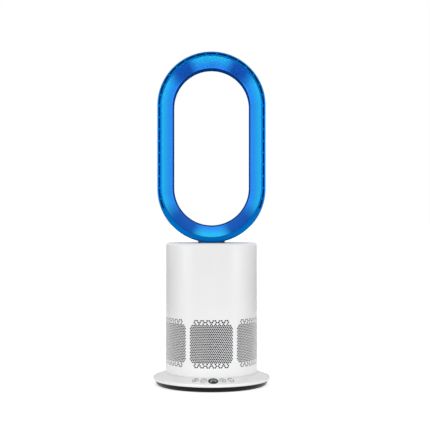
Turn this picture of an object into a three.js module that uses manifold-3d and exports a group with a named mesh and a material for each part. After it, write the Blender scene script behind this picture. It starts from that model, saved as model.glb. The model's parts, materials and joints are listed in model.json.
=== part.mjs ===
// A free-standing bladeless fan: a round base with its controls, a white tower that swings on it, and an
// upright racetrack-shaped loop that blows air out of slots in its front rim.
// Millimetres, +Z up, front towards -Y. The origin is on the swing axis, on the surface the feet stand on.

import * as THREE from 'three';
import { mergeVertices } from 'three/addons/utils/BufferGeometryUtils.js';
import Module from 'manifold-3d';

const wasm = await Module();
wasm.setup();

// ---------------------------------------------------------------- driving dimensions, in mm and degrees

const GAP = 0.3; // between pieces that touch
const RUNNING_GAP = 0.6; // between pieces that turn past each other
const CUT = 1; // how far a cutter runs past what it cuts

// base
const FOOT_RADIUS = 8;
const FOOT_COUNT = 5;
const FOOT_INSET = 13.4; // centre of a foot inside the lower edge of the skirt
const PAN_FLOOR_BOTTOM = 3;
const PAN_FLOOR = 2;
const SKIRT_BOTTOM = 0.8;
const SKIRT_FLARE = 4.6; // how far the skirt leans out
const SKIRT_INSET = 3; // upper edge of the skirt inside the rim
const SKIRT_TOP = 9.6;
const SKIRT_WALL = 2.4;
const BRIM = 23.5; // how far the base reaches beyond the tower
const RIM_HEIGHT = 6;
const RIM_NOSE = 1.2;
const SLOPE_EDGE = 2; // lower edge of the slope inside the rim
const DECK_TOP = 23.4;
const COVER_WALL = 2.4;
const BASE_SCREW_CIRCLE = 68;
const BASE_SCREW_COUNT = 4;
const BASE_SCREW_TURN = 45;
const SCREW_RADIUS = 1.5;
const SCREW_HEAD_RADIUS = 3;
const SCREW_HEAD = 1.8;
const POST_RADIUS = 4.5;

// controls on the slope
const PANEL_THICKNESS = 1.2;
const PANEL_INNER_TURN = 59.3; // half angle of the panel beside the tower
const PANEL_OUTER_TURN = 35; // half angle of the panel at the rim
const CONTROL_TURN = 2; // the row of keys sits a little to the right of the centre
const KEY_RADIUS = 5.8;
const KEY_PROUD = 0.8;
const KEY_TRAVEL = 0.6;
const KEY_TURNS = { power_key: -19.2, slower_key: -10.2, faster_key: 10.2, timer_key: 19.2 };
const KEY_FLANGE = 1;
const KEY_FLANGE_REACH = 1.2;
const KEY_EDGE = 0.4;
const KEY_STEM_RADIUS = 2;
const DISPLAY_RADIUS = 9;
const DISPLAY_PROUD = 0.2;
const MODULE_RADIUS = 7.4;
const SWITCH_SIDE = 6;
const SWITCH_HEIGHT = 2.5;
const BOARD = 1.6;
const BOARD_SPREAD = 27; // half angle of the control board
const BOARD_REACH = 7; // half length of the control board down the slope
const INLET_WIDTH = 16;
const INLET_HEIGHT = 9;
const INLET_DEPTH = 14;
const INLET_HOLE_RADIUS = 3.2;
const POWER_BOARD_WIDTH = 56;
const POWER_BOARD_DEPTH = 34;
const POWER_BOARD_Y = -46;
const TRANSFORMER_SIDE = 18;
const TRANSFORMER_HEIGHT = 8;
const TRANSFORMER_X = -11;
const CAPACITOR_RADIUS = 5;
const CAPACITOR_HEIGHT = 9;
const CAPACITOR_X = 10;
const STANDOFF = 3;

// swing drive
const GEAR_MODULE = 2;
const FIXED_TEETH = 32;
const PINION_TEETH = 10;
const GEAR_WIDTH = 6;
const GEAR_BACKLASH = 0.35;
const PRESSURE_ANGLE = 20;
const HUB_RADIUS = 24;
const HUB_STEP = 5; // how far the hub steps in below the deck
const HUB_BORE = 12;
const RETAINER_RADIUS = 34;
const RETAINER = 2.6;
const RETAINER_SCREW_COUNT = 3;
const TURNTABLE_RISE = 7.6; // underside of the turntable above the deck
const TURNTABLE = 2.5;
const SLIDE_RING_INSET = 16.5; // middle of the ring inside the tower
const SLIDE_RING_WIDTH = 9;
const SLIDE_RING = 2;
const OUTPUT_SHAFT_RADIUS = 2.5;
const OUTPUT_SHAFT_LENGTH = 16;
const SWING_MOTOR_RADIUS = 24.5;
const SWING_MOTOR_HEIGHT = 20;
const SWING_MOTOR_OFFSET = 10; // its output shaft is this far from its centre

// tower
const TOWER_RADIUS = 84.5;
const TOWER_WALL = 2.2;
const TOWER_BOTTOM = 24;
const TOWER_TOP = 260.2;
const TOWER_EDGE = 4;
const FIELD_COUNT = 6;
const FIELD_BOTTOM = 41.5;
const FIELD_TOP = 124.9;
const FIELD_HALF_ANGLE = 23; // from the middle of a field to its outer holes
const HOLE_RADIUS = 7.4;
const HOLE_COLUMNS = 3;
const HOLE_ROWS = 5;
const SCREEN_WALL = 1;
const SCREEN_GAP = 1.5;
const CATCH_BOTTOM = 137.5;
const CATCH_HEIGHT = 17.5;
const CATCH_WIDTH = 8;
const CATCH_PROUD = 0.5;
const CATCH_LIP = 2;
const CATCH_GROOVE = 0.8;

// air path
const HOUSING_BOTTOM = 129;
const HOUSING_TOP = 175;
const HOUSING_WALL = 2;
const HOUSING_FLANGE = 2.3;
const BELL_RADIUS = 58;
const BELL_HEIGHT = 5;
const THROAT_RADIUS = 50;
const THROAT_HEIGHT = 9;
const THROAT_FLARE = 1;
const DUCT_RIM = 7;
const DUCT_RADIUS = 58.5;
const DIFFUSER_HEIGHT = 29.7;
const GUIDE_VANES = 9;
const GUIDE_VANE = 2;
const GUIDE_VANE_HEIGHT = 23.8;
const GUIDE_VANE_LEAN = 20;
const CUP_RADIUS = 35;
const CUP_WALL = 2;
const CAP_FLOOR = 1;
const STATOR_HEIGHT = 17.5;
const ROTOR_RADIUS = 12;
const MOTOR_SHAFT_RADIUS = 3;
const BEARING_RADIUS = 8;
const BEARING_HEIGHT = 4;
const BEARING_WALL = 2;
const IMPELLER_BOTTOM = 141.3;
const IMPELLER_HEIGHT = 29;
const IMPELLER_NOSE = 14;
const IMPELLER_NOSE_ROUND = 6;
const IMPELLER_NOSE_RISE = 8;
const IMPELLER_BACK = 38;
const IMPELLER_BACK_RIM = 7;
const IMPELLER_BLADES = 9;
const IMPELLER_BLADE = 1.8;
const IMPELLER_GAP = 1.5;
const BLADE_FRONT_INSET = 3; // the blades start behind the nose
const BLADE_BACK_INSET = 1;
const BLADE_ROOT = 2; // how far a blade runs into the hub at the front
const BLADE_BACK_ROOT = 10;
const BLADE_PITCH = 30;
const NUT_RADIUS = 6;
const NUT_HEIGHT = 4;
const SHAFT_END = 2; // the shaft stands out of the nut
const DUCT_DROP = 6.2; // top of the duct below the top of the tower
const DUCT_SHOULDER = 12; // height of the duct's wide part
const DUCT_NARROWING = 26; // height at which the duct has half narrowed
const DUCT_TAPER = 2;
const SLEEVE_HEIGHT = 10;
const GASKET_HEIGHT = 2;
const NECK_RADIUS = 22;
const NECK_WALL = 2.5;
const NECK_SINK = 8; // how deep the neck sits in the duct
const NECK_RISE = 5.5; // how far the neck stands up into the loop
const COLLAR_WALL = 2.7;
const COLLAR_TURN = 20; // the collar reaches up to this angle of the lower arc
const COVER_PLATE = 2.3;
const COVER_SKIRT = 7;
const COVER_STEP = 2; // skirt of the cover inside its edge

// loop
const LOOP_RADIUS = 99.2;
const LOOP_DEPTH = 56;
const LOOP_STRAIGHT = 149.5;
const LOOP_CLEARANCE = 2.1; // underside of the loop above the tower
const LOOP_BOTTOM_EXTRA = 2; // the band is this much taller at the bottom
const LOOP_WALL = 2.2;
const LOOP_BACK_ROUND = 12;
const RIM_BAND = 7.9; // front band, from the lip of the cone to the outside
const RIM_PLATE = 2;
const RIM_RETURN = 6;
const RIM_LIP = 1.8;
const CONE_SET_BACK = 1.5;
const CONE_WIDTH = 19.3;
const THROAT_TAPER = 1.6;
const THROAT_FRONT = -2;
const SLOT_INSET = 4; // middle of the slots inside the outside of the loop
const SLOT_WIDTH = 2.2;
const SLOT_BRIDGE = 3;
const SLOT_TURN = 12;
const UPPER_SLOTS = 15;
const LOWER_SLOTS = 2; // on each side of the lower arc
const STRAIGHT_SLOTS = 7; // on each straight

// fineness
const ROUND_SIDES = 40;
const INNER_SIDES = 20;
const KEY_SIDES = 16;
const SMALL_SIDES = 8;
const LOOP_SIDES = 36;

// ---------------------------------------------------------------- sizes that follow from those above

const FRONT = -Math.PI / 2;
const PAN_FLOOR_TOP = PAN_FLOOR_BOTTOM + PAN_FLOOR;
const RIM_RADIUS = TOWER_RADIUS + BRIM;
const SKIRT_TOP_RADIUS = RIM_RADIUS - SKIRT_INSET;
const SKIRT_BOTTOM_RADIUS = SKIRT_TOP_RADIUS - SKIRT_FLARE;
const FOOT_CIRCLE = SKIRT_BOTTOM_RADIUS - FOOT_INSET;
const RIM_BOTTOM = SKIRT_TOP + GAP;
const SLOPE_BOTTOM = RIM_BOTTOM + RIM_HEIGHT;
const SLOPE_BOTTOM_RADIUS = RIM_RADIUS - SLOPE_EDGE;
const SLOPE_TOP_RADIUS = TOWER_RADIUS + GAP;
const CONTROL_CIRCLE = (SLOPE_TOP_RADIUS + SLOPE_BOTTOM_RADIUS) / 2;
const SLOPE_TOP = TOWER_BOTTOM - GAP;
const SLOPE = Math.atan2(SLOPE_TOP - SLOPE_BOTTOM, SLOPE_BOTTOM_RADIUS - SLOPE_TOP_RADIUS);
const DECK_BOTTOM = DECK_TOP - COVER_WALL;
const DECK_HOLE = HUB_RADIUS + RUNNING_GAP;
const SLIDE_RING_RADIUS = TOWER_RADIUS - SLIDE_RING_INSET;
const TURNTABLE_BOTTOM = DECK_TOP + TURNTABLE_RISE;
const TURNTABLE_TOP = TURNTABLE_BOTTOM + TURNTABLE;
const HUB_STEP_RADIUS = HUB_RADIUS - HUB_STEP;
const RETAINER_TOP = DECK_BOTTOM - GAP;
const RETAINER_BOTTOM = RETAINER_TOP - RETAINER;
const RETAINER_SCREW_CIRCLE = HUB_RADIUS - HUB_STEP / 2;
const GEAR_BOTTOM = DECK_TOP + GAP;
const FIXED_PITCH_RADIUS = GEAR_MODULE * FIXED_TEETH / 2;
const PINION_PITCH_RADIUS = GEAR_MODULE * PINION_TEETH / 2;
const PINION_Y = FIXED_PITCH_RADIUS + PINION_PITCH_RADIUS;
const PINION_BOTTOM = GEAR_BOTTOM + RUNNING_GAP;
const TOWER_INNER_RADIUS = TOWER_RADIUS - TOWER_WALL;
const COVER_RADIUS = TOWER_RADIUS - TOWER_EDGE - GAP;
const SCREEN_RADIUS = TOWER_INNER_RADIUS - SCREEN_GAP;
const FLANGE_RADIUS = TOWER_INNER_RADIUS - GAP;
const DIFFUSER_BOTTOM = HOUSING_TOP + GAP;
const DIFFUSER_TOP = DIFFUSER_BOTTOM + DIFFUSER_HEIGHT;
const CUP_FLOOR = DIFFUSER_TOP - CUP_WALL;
const BEARING_SEAT_RADIUS = BEARING_RADIUS + GAP;
const BOSS_RADIUS = BEARING_SEAT_RADIUS + BEARING_WALL;
const CAP_BOTTOM = DIFFUSER_BOTTOM;
const LOWER_BEARING_BOTTOM = CAP_BOTTOM + CAP_FLOOR + GAP;
const UPPER_BEARING_TOP = CUP_FLOOR - GAP;
const STATOR_BOTTOM = CAP_BOTTOM + COVER_WALL + GAP;
const STATOR_RADIUS = CUP_RADIUS - CUP_WALL - GAP;
const SHAFT_BORE = MOTOR_SHAFT_RADIUS + GAP;
const AIR_DUCT_BOTTOM = DIFFUSER_TOP + GAP;
const AIR_DUCT_TOP = TOWER_TOP - DUCT_DROP;
const SLEEVE_BOTTOM = AIR_DUCT_TOP - SLEEVE_HEIGHT;
const SLEEVE_INNER_RADIUS = NECK_RADIUS + GAP;
const GASKET_BOTTOM = AIR_DUCT_TOP + GAP;
const COLLAR_BOTTOM = GASKET_BOTTOM + GASKET_HEIGHT + GAP;
const COLLAR_RADIUS = SLEEVE_INNER_RADIUS + COLLAR_WALL;
const LOOP_FRONT = -LOOP_DEPTH / 2;
const LOOP_BACK = LOOP_DEPTH / 2;
const LOOP_LOWER_CENTRE = TOWER_TOP + LOOP_CLEARANCE + LOOP_RADIUS + LOOP_BOTTOM_EXTRA;
const LOOP_UPPER_CENTRE = LOOP_LOWER_CENTRE + LOOP_STRAIGHT;
const CONE_EDGE_RADIUS = LOOP_RADIUS - RIM_BAND;
const THROAT_FRONT_RADIUS = CONE_EDGE_RADIUS - CONE_WIDTH;
const THROAT_BACK_RADIUS = THROAT_FRONT_RADIUS - THROAT_TAPER;
const SLOT_RADIUS = LOOP_RADIUS - SLOT_INSET;
const NECK_BOTTOM = AIR_DUCT_TOP - NECK_SINK;
const NECK_TOP = TOWER_TOP + LOOP_CLEARANCE + LOOP_WALL + NECK_RISE;

// ---------------------------------------------------------------- finishes

const finish = (color, roughness, metalness) => new THREE.MeshStandardMaterial({ color, roughness, metalness });
const WHITE = finish(0xf2f2f2, 0.35, 0);
const BLACK_GLOSS = finish(0x101012, 0.15, 0);
const DARK_PLASTIC = finish(0x2b2d30, 0.6, 0);
const GREY_PLASTIC = finish(0x8d9196, 0.55, 0);
const NAVY = finish(0x08112c, 0.4, 0);
const BLUE = finish(0x0a7fe0, 0.25, 0.5);
const RUBBER = finish(0x161616, 0.9, 0);
const NYLON = finish(0xe6e1cf, 0.5, 0);
const STEEL = finish(0xb4b6b9, 0.3, 1);
const COPPER = finish(0xb3693a, 0.4, 0.8);
const BOARD_GREEN = finish(0x1d5a36, 0.5, 0);

// ---------------------------------------------------------------- tools for making solids

const radians = (degrees) => degrees * Math.PI / 180;
const points = (pairs) => pairs.map(([x, y]) => new THREE.Vector2(x, y));

/** A closed geometry as a solid that can be joined and cut. */
function solid(geometry) {
  const bare = new THREE.BufferGeometry();
  bare.setAttribute('position', geometry.getAttribute('position'));
  bare.setIndex(geometry.index);
  const merged = mergeVertices(bare, 1e-4);
  const corners = merged.index.array;
  const triangles = [];
  for (let i = 0; i < corners.length; i += 3) {
    const [a, b, c] = corners.slice(i, i + 3);
    if (a !== b && b !== c && c !== a) triangles.push(a, b, c);
  }
  return new wasm.Manifold(new wasm.Mesh({
    numProp: 3,
    vertProperties: new Float32Array(merged.getAttribute('position').array),
    triVerts: new Uint32Array(triangles),
  }));
}

/** A solid as a geometry for a mesh. */
function geometryOf(body) {
  const mesh = body.getMesh();
  const geometry = new THREE.BufferGeometry();
  geometry.setAttribute('position', new THREE.BufferAttribute(mesh.vertProperties, mesh.numProp));
  geometry.setIndex(new THREE.BufferAttribute(mesh.triVerts, 1));
  geometry.computeVertexNormals();
  return geometry;
}

/** A named piece, from a solid or a geometry. */
function piece(name, body, material) {
  const mesh = new THREE.Mesh(body.isBufferGeometry ? body : geometryOf(body), material);
  mesh.name = name;
  return mesh;
}

/** A profile of [radius, height] pairs turned about the vertical axis. It runs counter-clockwise. */
function turned(profile, sides = INNER_SIDES) {
  const onAxis = profile[0][0] === 0;
  const closed = onAxis ? profile : [...profile, profile[0]];
  return solid(new THREE.LatheGeometry(points(closed), sides).rotateX(Math.PI / 2));
}

/** A ring or tube with straight walls. */
function ring(inner, outer, bottom, top, sides = INNER_SIDES) {
  return turned([[inner, bottom], [outer, bottom], [outer, top], [inner, top]], sides);
}

/** An upright cylinder with its centre line at x, y. */
function rod(radius, bottom, top, x = 0, y = 0, sides = SMALL_SIDES) {
  const geometry = new THREE.CylinderGeometry(radius, radius, top - bottom, sides).rotateX(Math.PI / 2);
  return solid(geometry.translate(x, y, (bottom + top) / 2));
}

/** A box between two corners. */
function block([x0, y0, z0], [x1, y1, z1]) {
  const geometry = new THREE.BoxGeometry(x1 - x0, y1 - y0, z1 - z0);
  return solid(geometry.translate((x0 + x1) / 2, (y0 + y1) / 2, (z0 + z1) / 2));
}

/** A plan outline carried upwards from bottom to top. */
function prism(outline, bottom, top, curveSegments = 1) {
  const options = { depth: top - bottom, bevelEnabled: false, curveSegments };
  return solid(new THREE.ExtrudeGeometry(outline, options).translate(0, 0, bottom));
}

/** The places of count copies, evenly spaced on a circle, as [x, y, angle]. */
function around(count, radius, firstAngle) {
  return Array.from({ length: count }, (_, i) => {
    const angle = firstAngle + i * 2 * Math.PI / count;
    return [radius * Math.cos(angle), radius * Math.sin(angle), angle];
  });
}

/** The outline of an involute gear with a tooth at an angle. */
function gearOutline(teeth, toothAngle) {
  const pitchRadius = GEAR_MODULE * teeth / 2;
  const baseRadius = pitchRadius * Math.cos(radians(PRESSURE_ANGLE));
  const rootRadius = pitchRadius - 1.25 * GEAR_MODULE;
  const tipRadius = pitchRadius + 0.9 * GEAR_MODULE;
  const involute = (radius) => {
    const roll = Math.sqrt(Math.max((radius / baseRadius) ** 2 - 1, 0));
    return roll - Math.atan(roll);
  };
  const halfTooth = (Math.PI * GEAR_MODULE / 2 - GEAR_BACKLASH) / (2 * pitchRadius);
  const halfAngle = (radius) => halfTooth + involute(pitchRadius) - involute(radius);
  const flank = [rootRadius, pitchRadius, tipRadius];
  const outline = [];
  for (const [, , angle] of around(teeth, 1, toothAngle)) {
    for (const radius of flank) outline.push([radius, angle - halfAngle(radius)]);
    for (const radius of flank.toReversed()) outline.push([radius, angle + halfAngle(radius)]);
  }
  return new THREE.Shape(outline.map(([r, a]) => new THREE.Vector2(r * Math.cos(a), r * Math.sin(a))));
}

// ---------------------------------------------------------------- base

const screwPlaces = around(BASE_SCREW_COUNT, BASE_SCREW_CIRCLE, radians(BASE_SCREW_TURN));
const inletBottom = PAN_FLOOR_TOP + GAP;
const inletBack = SKIRT_BOTTOM_RADIUS;
const boardCorners = [[-1, -1], [1, -1], [1, 1], [-1, 1]].map(([x, y]) =>
  [x * (POWER_BOARD_WIDTH / 2 - POST_RADIUS), POWER_BOARD_Y + y * (POWER_BOARD_DEPTH / 2 - POST_RADIUS)]);

/** The space that the inlet takes, larger by a margin on every side. */
function inletSpace(margin, back) {
  return block(
    [-INLET_WIDTH / 2 - margin, inletBack - INLET_DEPTH - margin, inletBottom - margin],
    [INLET_WIDTH / 2 + margin, back, inletBottom + INLET_HEIGHT + margin],
  );
}

function basePan() {
  const wallStep = SKIRT_WALL + PAN_FLOOR / 2;
  let pan = turned([
    [0, PAN_FLOOR_BOTTOM], [SKIRT_BOTTOM_RADIUS - wallStep, PAN_FLOOR_BOTTOM],
    [SKIRT_BOTTOM_RADIUS - SKIRT_WALL, SKIRT_BOTTOM], [SKIRT_BOTTOM_RADIUS, SKIRT_BOTTOM],
    [SKIRT_TOP_RADIUS, SKIRT_TOP], [SKIRT_TOP_RADIUS - SKIRT_WALL, SKIRT_TOP],
    [SKIRT_BOTTOM_RADIUS - SKIRT_WALL + PAN_FLOOR / 2, PAN_FLOOR_TOP], [0, PAN_FLOOR_TOP],
  ], ROUND_SIDES);
  for (const [x, y] of boardCorners) {
    pan = pan.add(rod(POST_RADIUS / 2, PAN_FLOOR_BOTTOM + PAN_FLOOR / 2, PAN_FLOOR_TOP + STANDOFF, x, y));
  }
  for (const [x, y] of screwPlaces) {
    pan = pan.subtract(rod(SCREW_RADIUS + GAP, 0, PAN_FLOOR_TOP + CUT, x, y));
  }
  return piece('base_pan', pan.subtract(inletSpace(GAP, RIM_RADIUS + CUT)), BLACK_GLOSS);
}

/** The layer of the slope between two depths below its surface, both measured square to it. */
function slopeLayer(shallow, deep, innerRadius, outerRadius) {
  const rise = Math.tan(SLOPE);
  const height = (radius, depth) => SLOPE_TOP - (radius - SLOPE_TOP_RADIUS) * rise - depth / Math.cos(SLOPE);
  return turned([
    [innerRadius, height(innerRadius, deep)], [outerRadius, height(outerRadius, deep)],
    [outerRadius, height(outerRadius, shallow)], [innerRadius, height(innerRadius, shallow)],
  ], ROUND_SIDES);
}

/** The plan of the control panel, larger by a margin at its two side edges. */
function panelPlan(margin) {
  const corner = (radius, turn) => [radius * Math.sin(radians(turn)), radius * Math.cos(radians(turn))];
  const [innerX, innerY] = corner(TOWER_RADIUS, PANEL_INNER_TURN);
  const [outerX, outerY] = corner(SLOPE_BOTTOM_RADIUS, PANEL_OUTER_TURN);
  const reach = 1.6; // the edges run on past the outer corner, where the rim ends the panel
  const endX = innerX + (outerX - innerX) * reach + margin;
  const endY = innerY + (outerY - innerY) * reach;
  return new THREE.Shape(points([
    [-innerX - margin, -innerY], [-endX, -endY], [endX, -endY], [innerX + margin, -innerY],
  ]));
}

/** A group at a place on the control circle, with its own z axis square to the slope and outwards. */
function onSlope(turn) {
  const angle = radians(CONTROL_TURN + turn);
  const outward = new THREE.Vector3(Math.sin(angle), -Math.cos(angle), 0);
  const across = new THREE.Vector3(Math.cos(angle), Math.sin(angle), 0);
  const normal = outward.clone().multiplyScalar(Math.sin(SLOPE)).setZ(Math.cos(SLOPE));
  const upSlope = normal.clone().cross(across);
  const group = new THREE.Group();
  group.position.copy(outward.multiplyScalar(CONTROL_CIRCLE));
  group.position.z = SLOPE_TOP - (CONTROL_CIRCLE - SLOPE_TOP_RADIUS) * Math.tan(SLOPE);
  group.quaternion.setFromRotationMatrix(new THREE.Matrix4().makeBasis(across, upSlope, normal));
  group.updateMatrixWorld();
  return group;
}

/** A cylinder through the slope at a place on the control circle, between two depths. */
function slopeDrill(turn, radius, shallow, deep, sides = KEY_SIDES) {
  const geometry = new THREE.CylinderGeometry(radius, radius, deep - shallow, sides).rotateX(Math.PI / 2);
  geometry.translate(0, 0, -(shallow + deep) / 2);
  return solid(geometry.applyMatrix4(onSlope(turn).matrixWorld));
}

const keyNames = Object.keys(KEY_TURNS);
const pocketDepth = PANEL_THICKNESS + GAP;
const keyFlangeTop = COVER_WALL + GAP;
const keyStemBottom = keyFlangeTop + 2 * KEY_FLANGE;
const switchTop = keyStemBottom + KEY_TRAVEL + GAP / 2;
const boardTop = switchTop + SWITCH_HEIGHT + GAP;

function baseCover() {
  const under = COVER_WALL / Math.cos(SLOPE);
  const slopeAt = (radius) => SLOPE_TOP - (radius - SLOPE_TOP_RADIUS) * Math.tan(SLOPE);
  const wallRadius = SKIRT_TOP_RADIUS - SKIRT_WALL;
  const kneeRadius = SLOPE_TOP_RADIUS + (SLOPE_TOP - under - DECK_BOTTOM) / Math.tan(SLOPE);
  const boss = kneeRadius > SLOPE_TOP_RADIUS ? kneeRadius : SLOPE_TOP_RADIUS;
  let cover = turned([
    [DECK_HOLE, DECK_BOTTOM], [boss, DECK_BOTTOM], [wallRadius, slopeAt(wallRadius) - under],
    [wallRadius, RIM_BOTTOM], [RIM_RADIUS - RIM_NOSE, RIM_BOTTOM], [RIM_RADIUS, RIM_BOTTOM + RIM_NOSE],
    [RIM_RADIUS, SLOPE_BOTTOM - RIM_NOSE], [SLOPE_BOTTOM_RADIUS + RIM_NOSE / 2, SLOPE_BOTTOM - RIM_NOSE / 4],
    [SLOPE_BOTTOM_RADIUS, SLOPE_BOTTOM], [SLOPE_TOP_RADIUS, SLOPE_TOP], [SLOPE_TOP_RADIUS - GAP, DECK_TOP],
    [DECK_HOLE, DECK_TOP],
  ], ROUND_SIDES);
  const pocket = slopeLayer(-CUT, pocketDepth, SLOPE_TOP_RADIUS, SLOPE_BOTTOM_RADIUS);
  cover = cover.subtract(pocket.intersect(prism(panelPlan(GAP), 0, DECK_TOP * 2)));
  for (const name of keyNames) {
    cover = cover.subtract(slopeDrill(KEY_TURNS[name], KEY_RADIUS + GAP, -CUT, COVER_WALL + CUT));
  }
  cover = cover.subtract(slopeDrill(0, MODULE_RADIUS + GAP, -CUT, COVER_WALL + CUT));
  for (const [x, y] of screwPlaces) {
    cover = cover.add(rod(POST_RADIUS, PAN_FLOOR_TOP + GAP, DECK_BOTTOM + COVER_WALL / 2, x, y));
    cover = cover.subtract(rod(SCREW_RADIUS + GAP, 0, DECK_BOTTOM - COVER_WALL, x, y));
  }
  return piece('base_cover', cover.subtract(inletSpace(GAP, RIM_RADIUS + CUT)), WHITE);
}

function controlPanel() {
  const layer = slopeLayer(0, PANEL_THICKNESS, SLOPE_TOP_RADIUS + GAP, SLOPE_BOTTOM_RADIUS - GAP);
  let panel = layer.intersect(prism(panelPlan(0), 0, DECK_TOP * 2));
  for (const name of keyNames) {
    panel = panel.subtract(slopeDrill(KEY_TURNS[name], KEY_RADIUS + GAP, -CUT, PANEL_THICKNESS + CUT));
  }
  panel = panel.subtract(slopeDrill(0, DISPLAY_RADIUS + GAP, -CUT, PANEL_THICKNESS + CUT));
  return piece('control_panel', panel, WHITE);
}

function key(name) {
  const group = onSlope(KEY_TURNS[name]);
  const flangeRadius = KEY_RADIUS + KEY_FLANGE_REACH;
  group.add(piece(name, turned([
    [0, -keyStemBottom], [KEY_STEM_RADIUS, -keyStemBottom], [KEY_STEM_RADIUS, -keyFlangeTop - KEY_FLANGE],
    [flangeRadius, -keyFlangeTop - KEY_FLANGE], [flangeRadius, -keyFlangeTop], [KEY_RADIUS, -keyFlangeTop],
    [KEY_RADIUS, KEY_PROUD - KEY_EDGE], [KEY_RADIUS - KEY_EDGE, KEY_PROUD], [0, KEY_PROUD],
  ], KEY_SIDES), WHITE));
  return group;
}

function keySwitch(name, number) {
  const group = onSlope(KEY_TURNS[name]);
  const half = SWITCH_SIDE / 2;
  const body = block([-half, -half, -switchTop - SWITCH_HEIGHT], [half, half, -switchTop]);
  group.add(piece(`key_switch_${number}`, body, DARK_PLASTIC));
  return group;
}

function display() {
  const group = onSlope(0);
  const lens = ring(0, DISPLAY_RADIUS, -PANEL_THICKNESS, DISPLAY_PROUD, KEY_SIDES);
  const module = ring(0, MODULE_RADIUS, GAP - boardTop, -pocketDepth, KEY_SIDES);
  group.add(piece('display_lens', lens, BLACK_GLOSS), piece('display_module', module, DARK_PLASTIC));
  return group;
}

function controlBoard() {
  const deep = boardTop + BOARD;
  const middle = CONTROL_CIRCLE - boardTop * Math.sin(SLOPE);
  const layer = slopeLayer(boardTop, deep, middle - BOARD_REACH, middle + BOARD_REACH);
  const side = radians(BOARD_SPREAD);
  const turn = radians(CONTROL_TURN);
  const far = 2 * RIM_RADIUS;
  const sector = new THREE.Shape(points([
    [0, 0], [far * Math.sin(turn - side), -far * Math.cos(turn - side)],
    [far * Math.sin(turn + side), -far * Math.cos(turn + side)],
  ]));
  return piece('control_board', layer.intersect(prism(sector, 0, DECK_TOP)), BOARD_GREEN);
}

function powerInlet() {
  const middle = inletBottom + INLET_HEIGHT / 2;
  const bore = new THREE.CylinderGeometry(INLET_HOLE_RADIUS, INLET_HOLE_RADIUS, INLET_DEPTH, SMALL_SIDES);
  const pin = new THREE.CylinderGeometry(INLET_HOLE_RADIUS / 3, INLET_HOLE_RADIUS / 3, INLET_DEPTH, SMALL_SIDES);
  const back = inletBack - GAP;
  const socket = inletSpace(0, back).subtract(solid(bore.translate(0, back - CUT, middle)));
  return piece('power_inlet', socket.add(solid(pin.translate(0, back - INLET_DEPTH / 2 - CUT, middle))), DARK_PLASTIC);
}

function powerBoard() {
  const bottom = PAN_FLOOR_TOP + STANDOFF + GAP;
  const top = bottom + BOARD;
  const root = bottom + BOARD / 2;
  const y = POWER_BOARD_Y;
  const [halfWidth, halfDepth, half] = [POWER_BOARD_WIDTH / 2, POWER_BOARD_DEPTH / 2, TRANSFORMER_SIDE / 2];
  const board = block([-halfWidth, y - halfDepth, bottom], [halfWidth, y + halfDepth, top]);
  const transformer = block(
    [TRANSFORMER_X - half, y - half, root], [TRANSFORMER_X + half, y + half, top + TRANSFORMER_HEIGHT],
  );
  const capacitor = rod(CAPACITOR_RADIUS, root, top + CAPACITOR_HEIGHT, CAPACITOR_X, y);
  return piece('power_board', board.add(transformer).add(capacitor), BOARD_GREEN);
}

function feet() {
  return around(FOOT_COUNT, FOOT_CIRCLE, Math.PI / 2).map(([x, y], i) =>
    piece(`foot_${i + 1}`, rod(FOOT_RADIUS, 0, PAN_FLOOR_BOTTOM - GAP, x, y, KEY_SIDES), RUBBER));
}

function baseScrews() {
  const headTop = PAN_FLOOR_BOTTOM - GAP;
  return screwPlaces.map(([x, y], i) => {
    const head = rod(SCREW_HEAD_RADIUS, headTop - SCREW_HEAD, headTop, x, y);
    const shank = rod(SCREW_RADIUS, headTop - SCREW_HEAD / 2, DECK_BOTTOM - COVER_WALL - GAP, x, y);
    return piece(`base_screw_${i + 1}`, head.add(shank), STEEL);
  });
}

// ---------------------------------------------------------------- swing drive

function fixedGear() {
  const gear = prism(gearOutline(FIXED_TEETH, Math.PI / 2), GEAR_BOTTOM, GEAR_BOTTOM + GEAR_WIDTH);
  const bore = rod(DECK_HOLE, GEAR_BOTTOM - CUT, GEAR_BOTTOM + GEAR_WIDTH + CUT, 0, 0, INNER_SIDES);
  return piece('fixed_gear', gear.subtract(bore), NYLON);
}

function drivePinion() {
  // A tooth of the fixed gear is on the line of centres, so the pinion has a gap between teeth there.
  const width = GEAR_WIDTH - RUNNING_GAP;
  const bore = rod(OUTPUT_SHAFT_RADIUS + GAP, -CUT, width + CUT);
  const gear = prism(gearOutline(PINION_TEETH, Math.PI / PINION_TEETH), 0, width).subtract(bore);
  const mesh = piece('drive_pinion', gear, NYLON);
  mesh.position.set(0, PINION_Y, PINION_BOTTOM);
  mesh.rotation.z = FRONT;
  return mesh;
}

function outputShaft() {
  const top = PINION_BOTTOM + OUTPUT_SHAFT_LENGTH;
  return piece('output_shaft', rod(OUTPUT_SHAFT_RADIUS, PINION_BOTTOM, top, 0, PINION_Y), STEEL);
}

function oscillationMotor() {
  const y = PINION_Y + SWING_MOTOR_OFFSET;
  const bottom = TURNTABLE_TOP + GAP;
  const can = rod(SWING_MOTOR_RADIUS, bottom, bottom + SWING_MOTOR_HEIGHT, 0, y, INNER_SIDES);
  const boreTop = PINION_BOTTOM + OUTPUT_SHAFT_LENGTH + GAP;
  return piece('oscillation_motor', can.subtract(rod(OUTPUT_SHAFT_RADIUS + GAP, 0, boreTop, 0, PINION_Y)), STEEL);
}

const retainerScrewPlaces = around(RETAINER_SCREW_COUNT, RETAINER_SCREW_CIRCLE, FRONT);
const retainerScrewTop = TURNTABLE_BOTTOM - 2 * GAP;

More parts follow.
